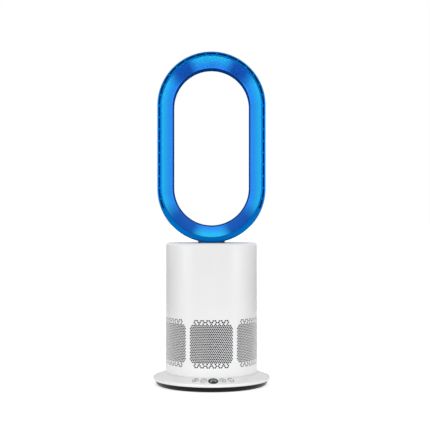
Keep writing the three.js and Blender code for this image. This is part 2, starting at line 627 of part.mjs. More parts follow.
function turntablePlate() {
  const ribInner = SLIDE_RING_RADIUS - SLIDE_RING_WIDTH / 2;
  const ribOuter = SLIDE_RING_RADIUS + SLIDE_RING_WIDTH / 2;
  const ribBottom = DECK_TOP + SLIDE_RING + 2 * GAP;
  let plate = turned([
    [HUB_BORE, RETAINER_BOTTOM], [HUB_STEP_RADIUS, RETAINER_BOTTOM], [HUB_STEP_RADIUS, RETAINER_TOP + GAP],
    [HUB_RADIUS, RETAINER_TOP + GAP], [HUB_RADIUS, TURNTABLE_BOTTOM], [ribInner, TURNTABLE_BOTTOM],
    [ribInner, ribBottom], [ribOuter, ribBottom], [ribOuter, TURNTABLE_BOTTOM],
    [FLANGE_RADIUS, TURNTABLE_BOTTOM], [FLANGE_RADIUS, TURNTABLE_TOP], [HUB_BORE, TURNTABLE_TOP],
  ], INNER_SIDES);
  for (const [x, y] of retainerScrewPlaces) {
    plate = plate.subtract(rod(SCREW_RADIUS + GAP, RETAINER_TOP, retainerScrewTop + GAP, x, y));
  }
  const shaftHole = rod(OUTPUT_SHAFT_RADIUS + RUNNING_GAP, TURNTABLE_BOTTOM - CUT, TURNTABLE_TOP + CUT, 0, PINION_Y);
  return piece('turntable_plate', plate.subtract(shaftHole), GREY_PLASTIC);
}

function hubRetainer() {
  let retainer = ring(HUB_STEP_RADIUS + GAP, RETAINER_RADIUS, RETAINER_BOTTOM, RETAINER_TOP);
  for (const [x, y] of retainerScrewPlaces) {
    retainer = retainer.subtract(rod(SCREW_RADIUS + GAP, RETAINER_BOTTOM - CUT, RETAINER_TOP + CUT, x, y));
  }
  return piece('hub_retainer', retainer, STEEL);
}

function retainerScrews() {
  const headTop = RETAINER_BOTTOM - GAP;
  const headRadius = SCREW_HEAD_RADIUS - GAP;
  return retainerScrewPlaces.map(([x, y], i) => {
    const head = rod(headRadius, headTop - SCREW_HEAD, headTop, x, y);
    const shank = rod(SCREW_RADIUS, headTop - SCREW_HEAD / 2, retainerScrewTop, x, y);
    return piece(`retainer_screw_${i + 1}`, head.add(shank), STEEL);
  });
}

function slideRing() {
  const inner = SLIDE_RING_RADIUS - SLIDE_RING_WIDTH / 2;
  const bottom = DECK_TOP + GAP;
  return piece('slide_ring', ring(inner, inner + SLIDE_RING_WIDTH, bottom, bottom + SLIDE_RING), NYLON);
}

// ---------------------------------------------------------------- tower

/** The intake holes: staggered hexagons in evenly spaced fields round the tube. */
function intakeHoles() {
  const columnTurn = 2 * FIELD_HALF_ANGLE / (HOLE_COLUMNS - 1);
  const lowest = FIELD_BOTTOM + HOLE_RADIUS;
  const rowPitch = (FIELD_TOP - FIELD_BOTTOM - 2 * HOLE_RADIUS) / (HOLE_ROWS - 1);
  const holes = [];
  for (const [, , fieldAngle] of around(FIELD_COUNT, 1, FRONT)) {
    for (let row = 0; row < HOLE_ROWS; row += 1) {
      const count = HOLE_COLUMNS - row % 2;
      for (let column = 0; column < count; column += 1) {
        const turn = fieldAngle + radians(columnTurn * (column - (count - 1) / 2));
        const hole = new THREE.CylinderGeometry(HOLE_RADIUS, HOLE_RADIUS, 4 * TOWER_WALL, 6);
        hole.rotateZ(Math.PI / 2).translate(TOWER_RADIUS, 0, lowest + row * rowPitch).rotateZ(turn);
        holes.push(solid(hole));
      }
    }
  }
  return wasm.Manifold.union(holes);
}

function towerShell() {
  const lipBottom = TOWER_TOP - TOWER_EDGE;
  const edge = around(16, TOWER_EDGE, 0).slice(1, 4);
  const corner = edge.map(([x, y]) => [TOWER_RADIUS - TOWER_EDGE + x, lipBottom + y]);
  const tube = turned([
    [TOWER_INNER_RADIUS, TOWER_BOTTOM], [TOWER_RADIUS, TOWER_BOTTOM], [TOWER_RADIUS, lipBottom], ...corner,
    [TOWER_RADIUS - TOWER_EDGE, TOWER_TOP], [TOWER_RADIUS - TOWER_EDGE, lipBottom], [TOWER_INNER_RADIUS, lipBottom],
  ], ROUND_SIDES);
  const top = CATCH_BOTTOM + CATCH_HEIGHT;
  const windows = block([-RIM_RADIUS, -CATCH_WIDTH / 2, CATCH_BOTTOM], [RIM_RADIUS, CATCH_WIDTH / 2, top]);
  return piece('tower_shell', tube.subtract(intakeHoles()).subtract(windows), WHITE);
}

function sideCatch(name, side) {
  const half = CATCH_WIDTH / 2;
  const face = TOWER_RADIUS + CATCH_PROUD;
  const facetSink = (half + CATCH_LIP) * Math.tan(Math.PI / ROUND_SIDES);
  const lipFace = TOWER_INNER_RADIUS - facetSink - GAP;
  const middle = CATCH_BOTTOM + CATCH_HEIGHT / 2;
  const button = block([lipFace - 1, GAP - half, GAP - CATCH_HEIGHT / 2], [face, half - GAP, CATCH_HEIGHT / 2 - GAP]);
  const lipHalf = CATCH_HEIGHT / 2 + CATCH_LIP;
  const lip = block([lipFace - CATCH_LIP, -half - CATCH_LIP, -lipHalf], [lipFace, half + CATCH_LIP, lipHalf]);
  const groove = block([face - CATCH_PROUD, -half, -CATCH_GROOVE / 2], [face + CUT, half, CATCH_GROOVE / 2]);
  const mesh = piece(name, button.add(lip).subtract(groove), WHITE);
  mesh.position.z = middle;
  mesh.rotation.z = side > 0 ? 0 : Math.PI;
  return mesh;
}

function dustScreen() {
  const bottom = TURNTABLE_TOP + GAP;
  const screen = ring(SCREEN_RADIUS - SCREEN_WALL, SCREEN_RADIUS, bottom, HOUSING_BOTTOM - GAP, ROUND_SIDES);
  return piece('dust_screen', screen, DARK_PLASTIC);
}

function topCover() {
  const inner = COLLAR_RADIUS + GAP;
  const bottom = TOWER_TOP - COVER_PLATE;
  const skirt = COVER_RADIUS - COVER_STEP;
  return piece('top_cover', turned([
    [inner, bottom], [skirt - TOWER_WALL, bottom], [skirt - TOWER_WALL, bottom - COVER_SKIRT],
    [skirt, bottom - COVER_SKIRT], [skirt, bottom], [COVER_RADIUS, bottom], [COVER_RADIUS, TOWER_TOP],
    [inner, TOWER_TOP],
  ], ROUND_SIDES), WHITE);
}

// ---------------------------------------------------------------- air path

function impellerHousing() {
  const wall = HOUSING_WALL;
  const flangeTop = HOUSING_BOTTOM + HOUSING_FLANGE;
  const throatBottom = flangeTop + BELL_HEIGHT;
  const throatTop = throatBottom + THROAT_HEIGHT;
  const throatTopRadius = THROAT_RADIUS + THROAT_FLARE;
  const rimBottom = HOUSING_TOP - DUCT_RIM;
  const rimBottomRadius = DUCT_RADIUS - THROAT_FLARE;
  return piece('impeller_housing', turned([
    [BELL_RADIUS, HOUSING_BOTTOM], [FLANGE_RADIUS, HOUSING_BOTTOM], [FLANGE_RADIUS, flangeTop],
    [BELL_RADIUS + wall, flangeTop], [THROAT_RADIUS + wall, throatBottom], [throatTopRadius + wall, throatTop],
    [rimBottomRadius + wall, rimBottom], [DUCT_RADIUS + wall, HOUSING_TOP], [DUCT_RADIUS, HOUSING_TOP],
    [rimBottomRadius, rimBottom], [throatTopRadius, throatTop], [THROAT_RADIUS, throatBottom],
  ]), GREY_PLASTIC);
}

function diffuser() {
  const outer = ring(DUCT_RADIUS, DUCT_RADIUS + HOUSING_WALL, DIFFUSER_BOTTOM, DIFFUSER_TOP);
  let body = turned([
    [CUP_RADIUS - CUP_WALL, DIFFUSER_BOTTOM], [CUP_RADIUS, DIFFUSER_BOTTOM], [CUP_RADIUS, DIFFUSER_TOP],
    [0, DIFFUSER_TOP], [0, CUP_FLOOR], [BEARING_SEAT_RADIUS, CUP_FLOOR],
    [BEARING_SEAT_RADIUS, UPPER_BEARING_TOP - BEARING_HEIGHT], [BOSS_RADIUS, UPPER_BEARING_TOP - BEARING_HEIGHT],
    [BOSS_RADIUS, CUP_FLOOR], [CUP_RADIUS - CUP_WALL, CUP_FLOOR],
  ]);
  body = body.add(outer);
  for (const [, , angle] of around(GUIDE_VANES, 1, 0)) {
    const length = DUCT_RADIUS - CUP_RADIUS + HOUSING_WALL;
    const vane = new THREE.BoxGeometry(length, GUIDE_VANE, GUIDE_VANE_HEIGHT).rotateX(radians(GUIDE_VANE_LEAN));
    vane.translate(CUP_RADIUS + length / 2 - HOUSING_WALL / 2, 0, (DIFFUSER_BOTTOM + DIFFUSER_TOP) / 2);
    body = body.add(solid(vane.rotateZ(angle)));
  }
  return piece('diffuser', body, GREY_PLASTIC);
}

function motorEndCap() {
  const top = CAP_BOTTOM + COVER_WALL;
  const seat = LOWER_BEARING_BOTTOM - GAP;
  const bossTop = LOWER_BEARING_BOTTOM + BEARING_HEIGHT;
  return piece('motor_end_cap', turned([
    [SHAFT_BORE + RUNNING_GAP, CAP_BOTTOM], [STATOR_RADIUS, CAP_BOTTOM], [STATOR_RADIUS, top], [BOSS_RADIUS, top],
    [BOSS_RADIUS, bossTop], [BEARING_SEAT_RADIUS, bossTop], [BEARING_SEAT_RADIUS, seat],
    [SHAFT_BORE + RUNNING_GAP, seat],
  ]), GREY_PLASTIC);
}

function motorParts() {
  const top = STATOR_BOTTOM + STATOR_HEIGHT;
  const upperBottom = UPPER_BEARING_TOP - BEARING_HEIGHT;
  const lowerTop = LOWER_BEARING_BOTTOM + BEARING_HEIGHT;
  return [
    piece('motor_stator', ring(ROTOR_RADIUS + RUNNING_GAP, STATOR_RADIUS, STATOR_BOTTOM, top), COPPER),
    piece('upper_bearing', ring(SHAFT_BORE, BEARING_RADIUS, upperBottom, UPPER_BEARING_TOP, KEY_SIDES), STEEL),
    piece('lower_bearing', ring(SHAFT_BORE, BEARING_RADIUS, LOWER_BEARING_BOTTOM, lowerTop, KEY_SIDES), STEEL),
  ];
}

function impeller() {
  const top = IMPELLER_BOTTOM + IMPELLER_HEIGHT;
  const middle = IMPELLER_BOTTOM + IMPELLER_HEIGHT / 2;
  let body = turned([
    [SHAFT_BORE, IMPELLER_BOTTOM], [IMPELLER_NOSE, IMPELLER_BOTTOM],
    [IMPELLER_NOSE + IMPELLER_NOSE_ROUND, IMPELLER_BOTTOM + IMPELLER_NOSE_RISE],
    [IMPELLER_BACK - IMPELLER_BACK_RIM, top - IMPELLER_BACK_RIM], [IMPELLER_BACK, top], [SHAFT_BORE, top],
  ]);
  const half = IMPELLER_HEIGHT / 2;
  const frontTip = THROAT_RADIUS - IMPELLER_GAP;
  const backTip = DUCT_RADIUS - DUCT_TAPER - IMPELLER_GAP;
  const outline = new THREE.Shape(points([
    [IMPELLER_NOSE - BLADE_ROOT, BLADE_FRONT_INSET - half], [frontTip, BLADE_FRONT_INSET - half],
    [backTip, half - BLADE_FRONT_INSET], [IMPELLER_BACK - BLADE_BACK_ROOT, half - BLADE_BACK_INSET],
  ]));
  for (const [, , angle] of around(IMPELLER_BLADES, 1, 0)) {
    const blade = new THREE.ExtrudeGeometry(outline, { depth: IMPELLER_BLADE, bevelEnabled: false });
    blade.translate(0, 0, -IMPELLER_BLADE / 2).rotateX(Math.PI / 2 - radians(BLADE_PITCH));
    body = body.add(solid(blade.translate(0, 0, middle).rotateZ(angle)));
  }
  const bore = rod(SHAFT_BORE, IMPELLER_BOTTOM - CUT, top + CUT, 0, 0, INNER_SIDES);
  return piece('impeller', body.subtract(bore), DARK_PLASTIC);
}

function spindle() {
  const nutTop = IMPELLER_BOTTOM - GAP;
  const rotorTop = STATOR_BOTTOM + STATOR_HEIGHT - CUT;
  const rotorBottom = LOWER_BEARING_BOTTOM + BEARING_HEIGHT + RUNNING_GAP;
  const shaft = rod(MOTOR_SHAFT_RADIUS, nutTop - NUT_HEIGHT - SHAFT_END, CUP_FLOOR - GAP, 0, 0, KEY_SIDES);
  const nut = rod(NUT_RADIUS, nutTop - NUT_HEIGHT, nutTop, 0, 0, 6).subtract(rod(SHAFT_BORE, 0, nutTop + CUT));
  return [
    piece('motor_shaft', shaft, STEEL),
    piece('motor_rotor', ring(SHAFT_BORE, ROTOR_RADIUS, rotorBottom, rotorTop), STEEL),
    piece('impeller_nut', nut, STEEL),
  ];
}

function airDuct() {
  const wall = HOUSING_WALL;
  const bottom = AIR_DUCT_BOTTOM;
  const outer = SLEEVE_INNER_RADIUS + wall;
  const waist = (DUCT_RADIUS + outer) / 2;
  const shoulder = bottom + DUCT_SHOULDER;
  const narrowing = bottom + DUCT_NARROWING;
  return piece('air_duct', turned([
    [DUCT_RADIUS, bottom], [DUCT_RADIUS + wall, bottom], [DUCT_RADIUS - DUCT_TAPER + wall, shoulder],
    [waist, narrowing], [outer, SLEEVE_BOTTOM], [outer, AIR_DUCT_TOP], [SLEEVE_INNER_RADIUS, AIR_DUCT_TOP],
    [SLEEVE_INNER_RADIUS, SLEEVE_BOTTOM], [waist - wall, narrowing], [DUCT_RADIUS - DUCT_TAPER, shoulder],
  ]), GREY_PLASTIC);
}

function neck() {
  const gasket = ring(SLEEVE_INNER_RADIUS, COLLAR_RADIUS, GASKET_BOTTOM, GASKET_BOTTOM + GASKET_HEIGHT);
  const tube = ring(NECK_RADIUS - NECK_WALL, NECK_RADIUS, NECK_BOTTOM, NECK_TOP);
  const collarTop = LOOP_LOWER_CENTRE - LOOP_RADIUS * Math.cos(radians(COLLAR_TURN));
  const collar = ring(SLEEVE_INNER_RADIUS, COLLAR_RADIUS, COLLAR_BOTTOM, collarTop).subtract(loopEnvelope(GAP));
  return [
    piece('neck_gasket', gasket, RUBBER),
    piece('loop_neck', tube, NAVY),
    piece('neck_collar', collar, NAVY),
  ];
}

// ---------------------------------------------------------------- loop

/** Height of the centre of the lower arc for a line at a radius: the outer lines reach lower. */
function lowerCentre(radius) {
  const share = (radius - CONE_EDGE_RADIUS) / RIM_BAND;
  return LOOP_LOWER_CENTRE - LOOP_BOTTOM_EXTRA * Math.min(Math.max(share, 0), 1);
}

/** A profile of [radius, y] pairs carried round the racetrack. It runs counter-clockwise. */
function racetrack(profile, sides = LOOP_SIDES) {
  // The flats of the polygon, not its corners, lie at the radius, so that the loop keeps its width and height.
  const halfStep = Math.PI / sides;
  const flats = Math.cos(halfStep);
  const corners = [...profile, profile[0]].map(([radius, y]) => [radius / flats, y]);
  const ringShape = new THREE.LatheGeometry(points(corners), sides, halfStep, 2 * Math.PI);
  const position = ringShape.getAttribute('position');
  for (let i = 0; i < position.count; i += 1) {
    const [x, z] = [position.getX(i), position.getZ(i)];
    position.setZ(i, z + (z > 0 ? LOOP_UPPER_CENTRE : lowerCentre(Math.hypot(x, z) * flats)));
  }
  return solid(ringShape);
}

/** Points of the rounded back corner, for an outside that is this much smaller. */
function backRound(inset) {
  const centre = LOOP_RADIUS - LOOP_BACK_ROUND;
  const arc = around(12, LOOP_BACK_ROUND - inset, 0).slice(0, 4);
  return arc.map(([x, y]) => [centre + x, LOOP_BACK - LOOP_BACK_ROUND + y]);
}

/** The filled outside of the loop, larger by a margin. */
function loopEnvelope(margin) {
  return racetrack([
    [THROAT_BACK_RADIUS - margin, LOOP_FRONT - margin], [LOOP_RADIUS + margin, LOOP_FRONT - margin],
    ...backRound(-margin), [THROAT_BACK_RADIUS - margin, LOOP_BACK + margin],
  ]);
}

const rearShellInner = THROAT_BACK_RADIUS + LOOP_WALL + GAP;
const rimBack = LOOP_FRONT + RIM_RETURN;

function loopRearShell() {
  const shell = racetrack([
    [LOOP_RADIUS - LOOP_WALL, rimBack + GAP], [LOOP_RADIUS, rimBack + GAP], ...backRound(0),
    [rearShellInner, LOOP_BACK], [rearShellInner, LOOP_BACK - LOOP_WALL], ...backRound(LOOP_WALL).reverse(),
  ]);
  const neckHole = rod(NECK_RADIUS + GAP, NECK_BOTTOM, NECK_TOP + CUT, 0, 0, INNER_SIDES);
  return piece('loop_rear_shell', shell.subtract(neckHole), BLUE);
}

function loopInnerShell() {
  const wall = LOOP_WALL;
  const front = LOOP_FRONT + CONE_SET_BACK;
  const edge = CONE_EDGE_RADIUS - GAP;
  return piece('loop_inner_shell', racetrack([
    [edge, front], [edge, front + wall], [THROAT_FRONT_RADIUS + wall, THROAT_FRONT + wall / 2],
    [THROAT_BACK_RADIUS + wall, LOOP_BACK], [THROAT_BACK_RADIUS, LOOP_BACK], [THROAT_FRONT_RADIUS, THROAT_FRONT],
  ]), BLUE);
}

/** A slot along an arc of the rim, about the centre of that arc. */
function arcSlot(middle, centre) {
  const half = radians(SLOT_TURN) / 2 - SLOT_BRIDGE / SLOT_RADIUS / 2;
  const slot = new THREE.Shape();
  slot.absarc(0, 0, SLOT_RADIUS + SLOT_WIDTH / 2, middle - half, middle + half, false);
  slot.absarc(0, 0, SLOT_RADIUS - SLOT_WIDTH / 2, middle + half, middle - half, true);
  const cutter = prism(slot, LOOP_FRONT - CUT, LOOP_FRONT + RIM_PLATE + CUT, 2);
  return cutter.rotate([90, 0, 0]).mirror([0, 1, 0]).translate([0, 0, centre]);
}

function outletSlots() {
  const slots = [];
  for (let i = 0; i < UPPER_SLOTS; i += 1) {
    slots.push(arcSlot(Math.PI / 2 + radians(SLOT_TURN) * (i - (UPPER_SLOTS - 1) / 2), LOOP_UPPER_CENTRE));
  }
  const lower = lowerCentre(SLOT_RADIUS);
  for (let i = 0; i < LOWER_SLOTS; i += 1) {
    const drop = radians(SLOT_TURN) * (i + 0.5);
    slots.push(arcSlot(-drop, lower), arcSlot(Math.PI + drop, lower));
  }
  const pitch = (LOOP_UPPER_CENTRE - lower) / STRAIGHT_SLOTS;
  for (let i = 0; i < STRAIGHT_SLOTS; i += 1) {
    const bottom = lower + pitch * i + SLOT_BRIDGE / 2;
    const top = lower + pitch * (i + 1) - SLOT_BRIDGE / 2;
    for (const x of [-SLOT_RADIUS, SLOT_RADIUS]) {
      slots.push(block(
        [x - SLOT_WIDTH / 2, LOOP_FRONT - CUT, bottom], [x + SLOT_WIDTH / 2, LOOP_FRONT + RIM_PLATE + CUT, top],
      ));
    }
  }
  return wasm.Manifold.union(slots);
}

function loopFrontRim() {
  const inner = CONE_EDGE_RADIUS;
  const plateBack = LOOP_FRONT + RIM_PLATE;
  const rim = racetrack([
    [inner, LOOP_FRONT], [LOOP_RADIUS, LOOP_FRONT], [LOOP_RADIUS, rimBack], [LOOP_RADIUS - RIM_LIP, rimBack],
    [LOOP_RADIUS - RIM_LIP, plateBack], [inner + RIM_LIP, plateBack], [inner + RIM_LIP, rimBack], [inner, rimBack],
  ]);
  return piece('loop_front_rim', rim.subtract(outletSlots()), BLUE);
}

// ---------------------------------------------------------------- assembly

const base = new THREE.Group();
base.add(basePan(), baseCover(), controlPanel(), display(), controlBoard(), powerInlet(), powerBoard());
base.add(fixedGear(), slideRing(), ...feet(), ...baseScrews());
keyNames.forEach((name, i) => base.add(key(name), keySwitch(name, i + 1)));

const tower = new THREE.Group();
tower.add(turntablePlate(), hubRetainer(), ...retainerScrews(), oscillationMotor(), outputShaft(), drivePinion());
tower.add(towerShell(), dustScreen(), topCover(), sideCatch('side_catch_right', 1), sideCatch('side_catch_left', -1));
tower.add(impellerHousing(), diffuser(), motorEndCap(), ...motorParts(), impeller(), ...spindle(), airDuct());
tower.add(...neck(), loopRearShell(), loopInnerShell(), loopFrontRim());

const fan = new THREE.Group();
fan.add(base, tower);

export default fan;
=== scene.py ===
"""Looks of a bladeless fan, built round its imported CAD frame.

The fan has a round base with keys and a display, a perforated tower that swings on it, and an upright
racetrack loop in blue lacquer with outlet slots in its rim. Sizes are in millimetres until a mesh is made.
"""

import json
import logging
import math
from collections.abc import Callable, Sequence
from dataclasses import dataclass, field
from enum import Enum
from typing import ClassVar

import bmesh
import bpy
import numpy as np
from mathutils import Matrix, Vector

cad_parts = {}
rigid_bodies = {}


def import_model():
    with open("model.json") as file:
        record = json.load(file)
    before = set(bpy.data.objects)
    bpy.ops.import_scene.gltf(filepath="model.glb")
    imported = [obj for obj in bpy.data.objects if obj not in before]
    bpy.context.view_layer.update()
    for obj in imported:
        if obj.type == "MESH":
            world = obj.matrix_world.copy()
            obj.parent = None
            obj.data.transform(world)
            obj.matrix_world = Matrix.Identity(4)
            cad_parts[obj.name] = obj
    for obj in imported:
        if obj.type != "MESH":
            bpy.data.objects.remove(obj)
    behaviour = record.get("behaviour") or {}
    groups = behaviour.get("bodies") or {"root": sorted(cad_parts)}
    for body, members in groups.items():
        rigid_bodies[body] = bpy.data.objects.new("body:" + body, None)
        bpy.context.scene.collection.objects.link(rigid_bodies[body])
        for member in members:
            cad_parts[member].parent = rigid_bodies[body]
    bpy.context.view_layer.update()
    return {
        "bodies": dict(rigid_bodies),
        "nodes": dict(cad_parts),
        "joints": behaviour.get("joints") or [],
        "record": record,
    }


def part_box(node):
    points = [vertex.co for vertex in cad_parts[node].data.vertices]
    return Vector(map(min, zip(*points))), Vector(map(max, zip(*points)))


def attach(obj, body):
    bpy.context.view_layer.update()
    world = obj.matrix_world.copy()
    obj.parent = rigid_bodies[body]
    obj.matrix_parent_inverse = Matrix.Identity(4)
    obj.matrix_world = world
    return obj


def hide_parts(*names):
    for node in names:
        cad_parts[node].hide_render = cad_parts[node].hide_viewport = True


log = logging.getLogger("fan")

MM = 0.001
GAP = 0.3  # between pieces that touch
WELD = 0.002  # points nearer than this are one
SHARP = 34.0  # an edge looks sharp from this angle on, in degrees
SQUARE = ((-1, -1), (1, -1), (1, 1), (-1, 1))

# ---------------------------------------------------------------- shapes


def eased(corners: Sequence[Sequence[float]], steps: int = 5) -> np.ndarray:
    """Rounds the corners of an outline.

    A corner with a set-back s becomes a quadratic Bezier curve that starts s before it and ends s after it.

    Args:
        corners: (u, v) or (u, v, set-back) for each corner.
        steps: pieces of each rounded corner.

    Returns:
        The points of the outline, one per row.
    """
    places = np.array([corner[:2] for corner in corners], float)
    t = np.linspace(0, 1, steps + 1)[:, None]
    out = []
    for i, corner in enumerate(corners):
        here = places[i]
        if len(corner) < 3:
            out.append(here[None])
            continue
        before, after = places[i - 1] - here, places[(i + 1) % len(corners)] - here
        start = here + before / np.linalg.norm(before) * corner[2]
        end = here + after / np.linalg.norm(after) * corner[2]
        out.append((1 - t) ** 2 * start + 2 * t * (1 - t) * here + t**2 * end)
    return np.concatenate(out)


def circle(radius: float, sides: int, centre: Sequence[float] = (0, 0)) -> np.ndarray:
    """Points of a regular outline round a centre.

    Args:
        radius: its radius.
        sides: number of points.
        centre: its centre.

    Returns:
        The points, one per row.
    """
    angle = np.linspace(0, 2 * np.pi, sides, endpoint=False)
    return centre + radius * np.stack([np.cos(angle), np.sin(angle)], -1)


class Solid:
    """A closed mesh under construction, in millimetres."""

    def __init__(self) -> None:
        """Starts without points."""
        self.points: list[np.ndarray] = []
        self.faces: list[list[int]] = []
        self.count = 0

    def add(self, points: np.ndarray, faces: np.ndarray) -> "Solid":
        """Adds points and faces that number them from nought."""
        self.points.append(points)
        self.faces += (faces + self.count).tolist()
        self.count += len(points)
        return self

    def cells(self, corners: np.ndarray) -> "Solid":
        """Adds single faces, whose corners are an array of shape (faces, corners, 3)."""
        faces, sides = corners.shape[:2]
        return self.add(corners.reshape(-1, 3), np.arange(faces * sides).reshape(faces, sides))

    def grid(self, rows: np.ndarray, around: bool = True, along: bool = True,
             skip: np.ndarray | None = None) -> "Solid":
        """Adds a sheet of quads over a grid of points.

        Args:
            rows: the points, of shape (rows, columns, 3).
            around: the last column meets the first.
            along: the last row meets the first.
            skip: a mask of the cells to leave open.

        Returns:
            This solid.
        """
        n, m = rows.shape[:2]
        i, j = np.meshgrid(np.arange(n if along else n - 1), np.arange(m if around else m - 1), indexing="ij")
        below, right = (i + 1) % n, (j + 1) % m
        quads = np.stack([i * m + j, i * m + right, below * m + right, below * m + j], -1)
        return self.add(rows.reshape(-1, 3), quads[~skip] if skip is not None else quads.reshape(-1, 4))

    def lathe(self, profile: np.ndarray, sides: int, closed: bool = True) -> "Solid":
        """Adds a profile of (radius, height) turned about the vertical axis.

        Args:
            profile: its points.
            sides: steps of the turn.
            closed: its last point meets the first.

        Returns:
            This solid.
        """
        angle = np.linspace(0, 2 * np.pi, sides, endpoint=False) - np.pi / 2
        radius, height = profile[:, :1], profile[:, 1:]
        rows = np.stack([radius * np.cos(angle), radius * np.sin(angle), height + 0 * angle], -1)
        return self.grid(rows, along=closed)

    def prism(self, outline: np.ndarray, low: float, high: float) -> "Solid":
        """Adds a plan outline carried upwards from low to high.

        Args:
            outline: points (x, y).
            low: height of the underside.
            high: height of the top.

        Returns:
            This solid.
        """
        level = np.ones((len(outline), 1))
        rows = np.stack([np.hstack([outline, level * low]), np.hstack([outline, level * high])])
        return self.grid(rows, along=False).cells(rows)

    def patch(self, top: np.ndarray, bottom: np.ndarray) -> "Solid":
        """Adds a plate between two grids of points of one shape.

        Args:
            top: the points of its top.
            bottom: those of its underside.

        Returns:
            This solid.
        """
        self.grid(np.concatenate([top, bottom[:, ::-1]], 1), along=False)
        for end in (0, -1):
            self.grid(np.stack([top[end], bottom[end]]), around=False, along=False)
        return self

    def placed(self, axes: np.ndarray, origin: np.ndarray) -> "Solid":
        """Carries the points from a local frame, whose axes are the rows of a matrix, to the fan's.

        Args:
            axes: the matrix.
            origin: the frame's origin.

        Returns:
            This solid.
        """
        self.points = [np.concatenate(self.points) @ axes + origin]
        return self

    def build(self, name: str, sharp: float = SHARP) -> bpy.types.Object:
        """Makes the mesh object, in metres, joined, closed and facing outwards.

        Args:
            name: the object's name.
            sharp: angle in degrees from which an edge looks sharp.

        Returns:
            The object.
        """
        mesh = bpy.data.meshes.new(name)
        mesh.from_pydata((np.concatenate(self.points) * MM).tolist(), [], self.faces)
        work = bmesh.new()
        work.from_mesh(mesh)
        bmesh.ops.remove_doubles(work, verts=work.verts, dist=WELD * MM)
        bmesh.ops.recalc_face_normals(work, faces=work.faces)
        work.to_mesh(mesh)
        work.free()
        smooth(mesh, sharp)
        obj = bpy.data.objects.new(name, mesh)
        bpy.context.scene.collection.objects.link(obj)
        return obj


def smooth(mesh: bpy.types.Mesh, sharp: float = SHARP) -> None:
    """Shades a mesh smooth up to an angle in degrees."""
    mesh.shade_smooth()
    mesh.set_sharp_from_angle(angle=math.radians(sharp))


def carve(obj: bpy.types.Object, *cutters: Solid) -> bpy.types.Object:
    """Cuts solids out of an object and returns it.

    Args:
        obj: the object.
        cutters: the solids.

    Returns:
        The same object.
    """
    for cutter in cutters:
        tool = cutter.build("cutter")
        cut = obj.modifiers.new("cut", "BOOLEAN")
        cut.operation, cut.solver, cut.object = "DIFFERENCE", "EXACT", tool
        result = bpy.data.meshes.new_from_object(obj.evaluated_get(bpy.context.evaluated_depsgraph_get()))
        obj.modifiers.clear()
        old, obj.data = obj.data, result
        bpy.data.meshes.remove(old)
        bpy.data.objects.remove(tool)
    smooth(obj.data)
    return obj


# ---------------------------------------------------------------- materials


def operation(kind: str, turned: bool = False) -> "Callable[..., Wire]":
    """Makes an arithmetic method of Wire.

    Args:
        kind: operation of the Math node.
        turned: the other value comes first.

    Returns:
        The method.
    """

    def method(wire: "Wire", *others: "Wire | float") -> "Wire":
        """The result of a Math node for this wire and the other values."""
        terms = (*others, wire) if turned else (wire, *others)
        return wire.tree.node("ShaderNodeMath", {"operation": kind}, dict(enumerate(terms)))

    return method


class Wire:
    """An output socket of a node tree, with arithmetic."""

    def __init__(self, tree: "Tree", socket: bpy.types.NodeSocket) -> None:
        """Takes the tree and the socket."""
        self.tree = tree
        self.socket = socket

    def also(self, output: int | str) -> "Wire":
        """Another output of the same node."""
        return Wire(self.tree, self.socket.node.outputs[output])

    __add__, __radd__ = operation("ADD"), operation("ADD", turned=True)
    __sub__, __rsub__ = operation("SUBTRACT"), operation("SUBTRACT", turned=True)
    __mul__, __rmul__ = operation("MULTIPLY"), operation("MULTIPLY", turned=True)
    __truediv__, __rtruediv__ = operation("DIVIDE"), operation("DIVIDE", turned=True)
    __pow__, __abs__ = operation("POWER"), operation("ABSOLUTE")
    most = operation("MAXIMUM")  # the larger of this and another value
    sine = operation("SINE")  # of this angle in radians
    angle = operation("ARCTAN2")  # of the place whose two coordinates are this and another value

    def ramp(self, low: float, high: float) -> "Wire":
        """A smooth rise from 0 at low to 1 at high."""
        return self.tree.node("ShaderNodeMapRange", {"interpolation_type": "SMOOTHSTEP"},
                              {"Value": self, "From Min": low, "From Max": high})


Colour = tuple[float, float, float]
Point = tuple[float, float, float]
MIX_FIRST, MIX_SECOND, MIX_RESULT = 6, 7, 2  # the colour sockets of a Mix node


class Tree:
    """A node tree, and the one way in which nodes are added to it."""

    def __init__(self, nodes: bpy.types.NodeTree) -> None:
        """Takes a node tree and empties it."""
        self.nodes = nodes
        nodes.nodes.clear()

    def node(self, kind: str, settings: dict | None = None, inputs: dict | None = None,
             output: int | str | None = 0) -> Wire | None:
        """Adds a node.

        Args:
            kind: type name of the node.
            settings: its properties, which are set first.
            inputs: a value or a wire for each input, by name or number.
            output: the output that is wanted, or None for a node that ends the tree.

        Returns:
            That output as a wire.
        """
        made = self.nodes.nodes.new(kind)
        for key, value in (settings or {}).items():
            setattr(made, key, value)
        for key, value in (inputs or {}).items():
            socket = made.inputs[key]
            if isinstance(value, Wire):
                self.nodes.links.new(value.socket, socket)
            else:
                socket.default_value = (*value, 1.0) if socket.type == "RGBA" else value
        return None if output is None else Wire(self, made.outputs[output])

    def seen(self) -> Wire:
        """1 for rays from the camera and from mirrors and glass, else 0."""
        camera = self.node("ShaderNodeLightPath", output="Is Camera Ray")
        return camera.most(camera.also("Is Glossy Ray")).most(camera.also("Is Transmission Ray"))


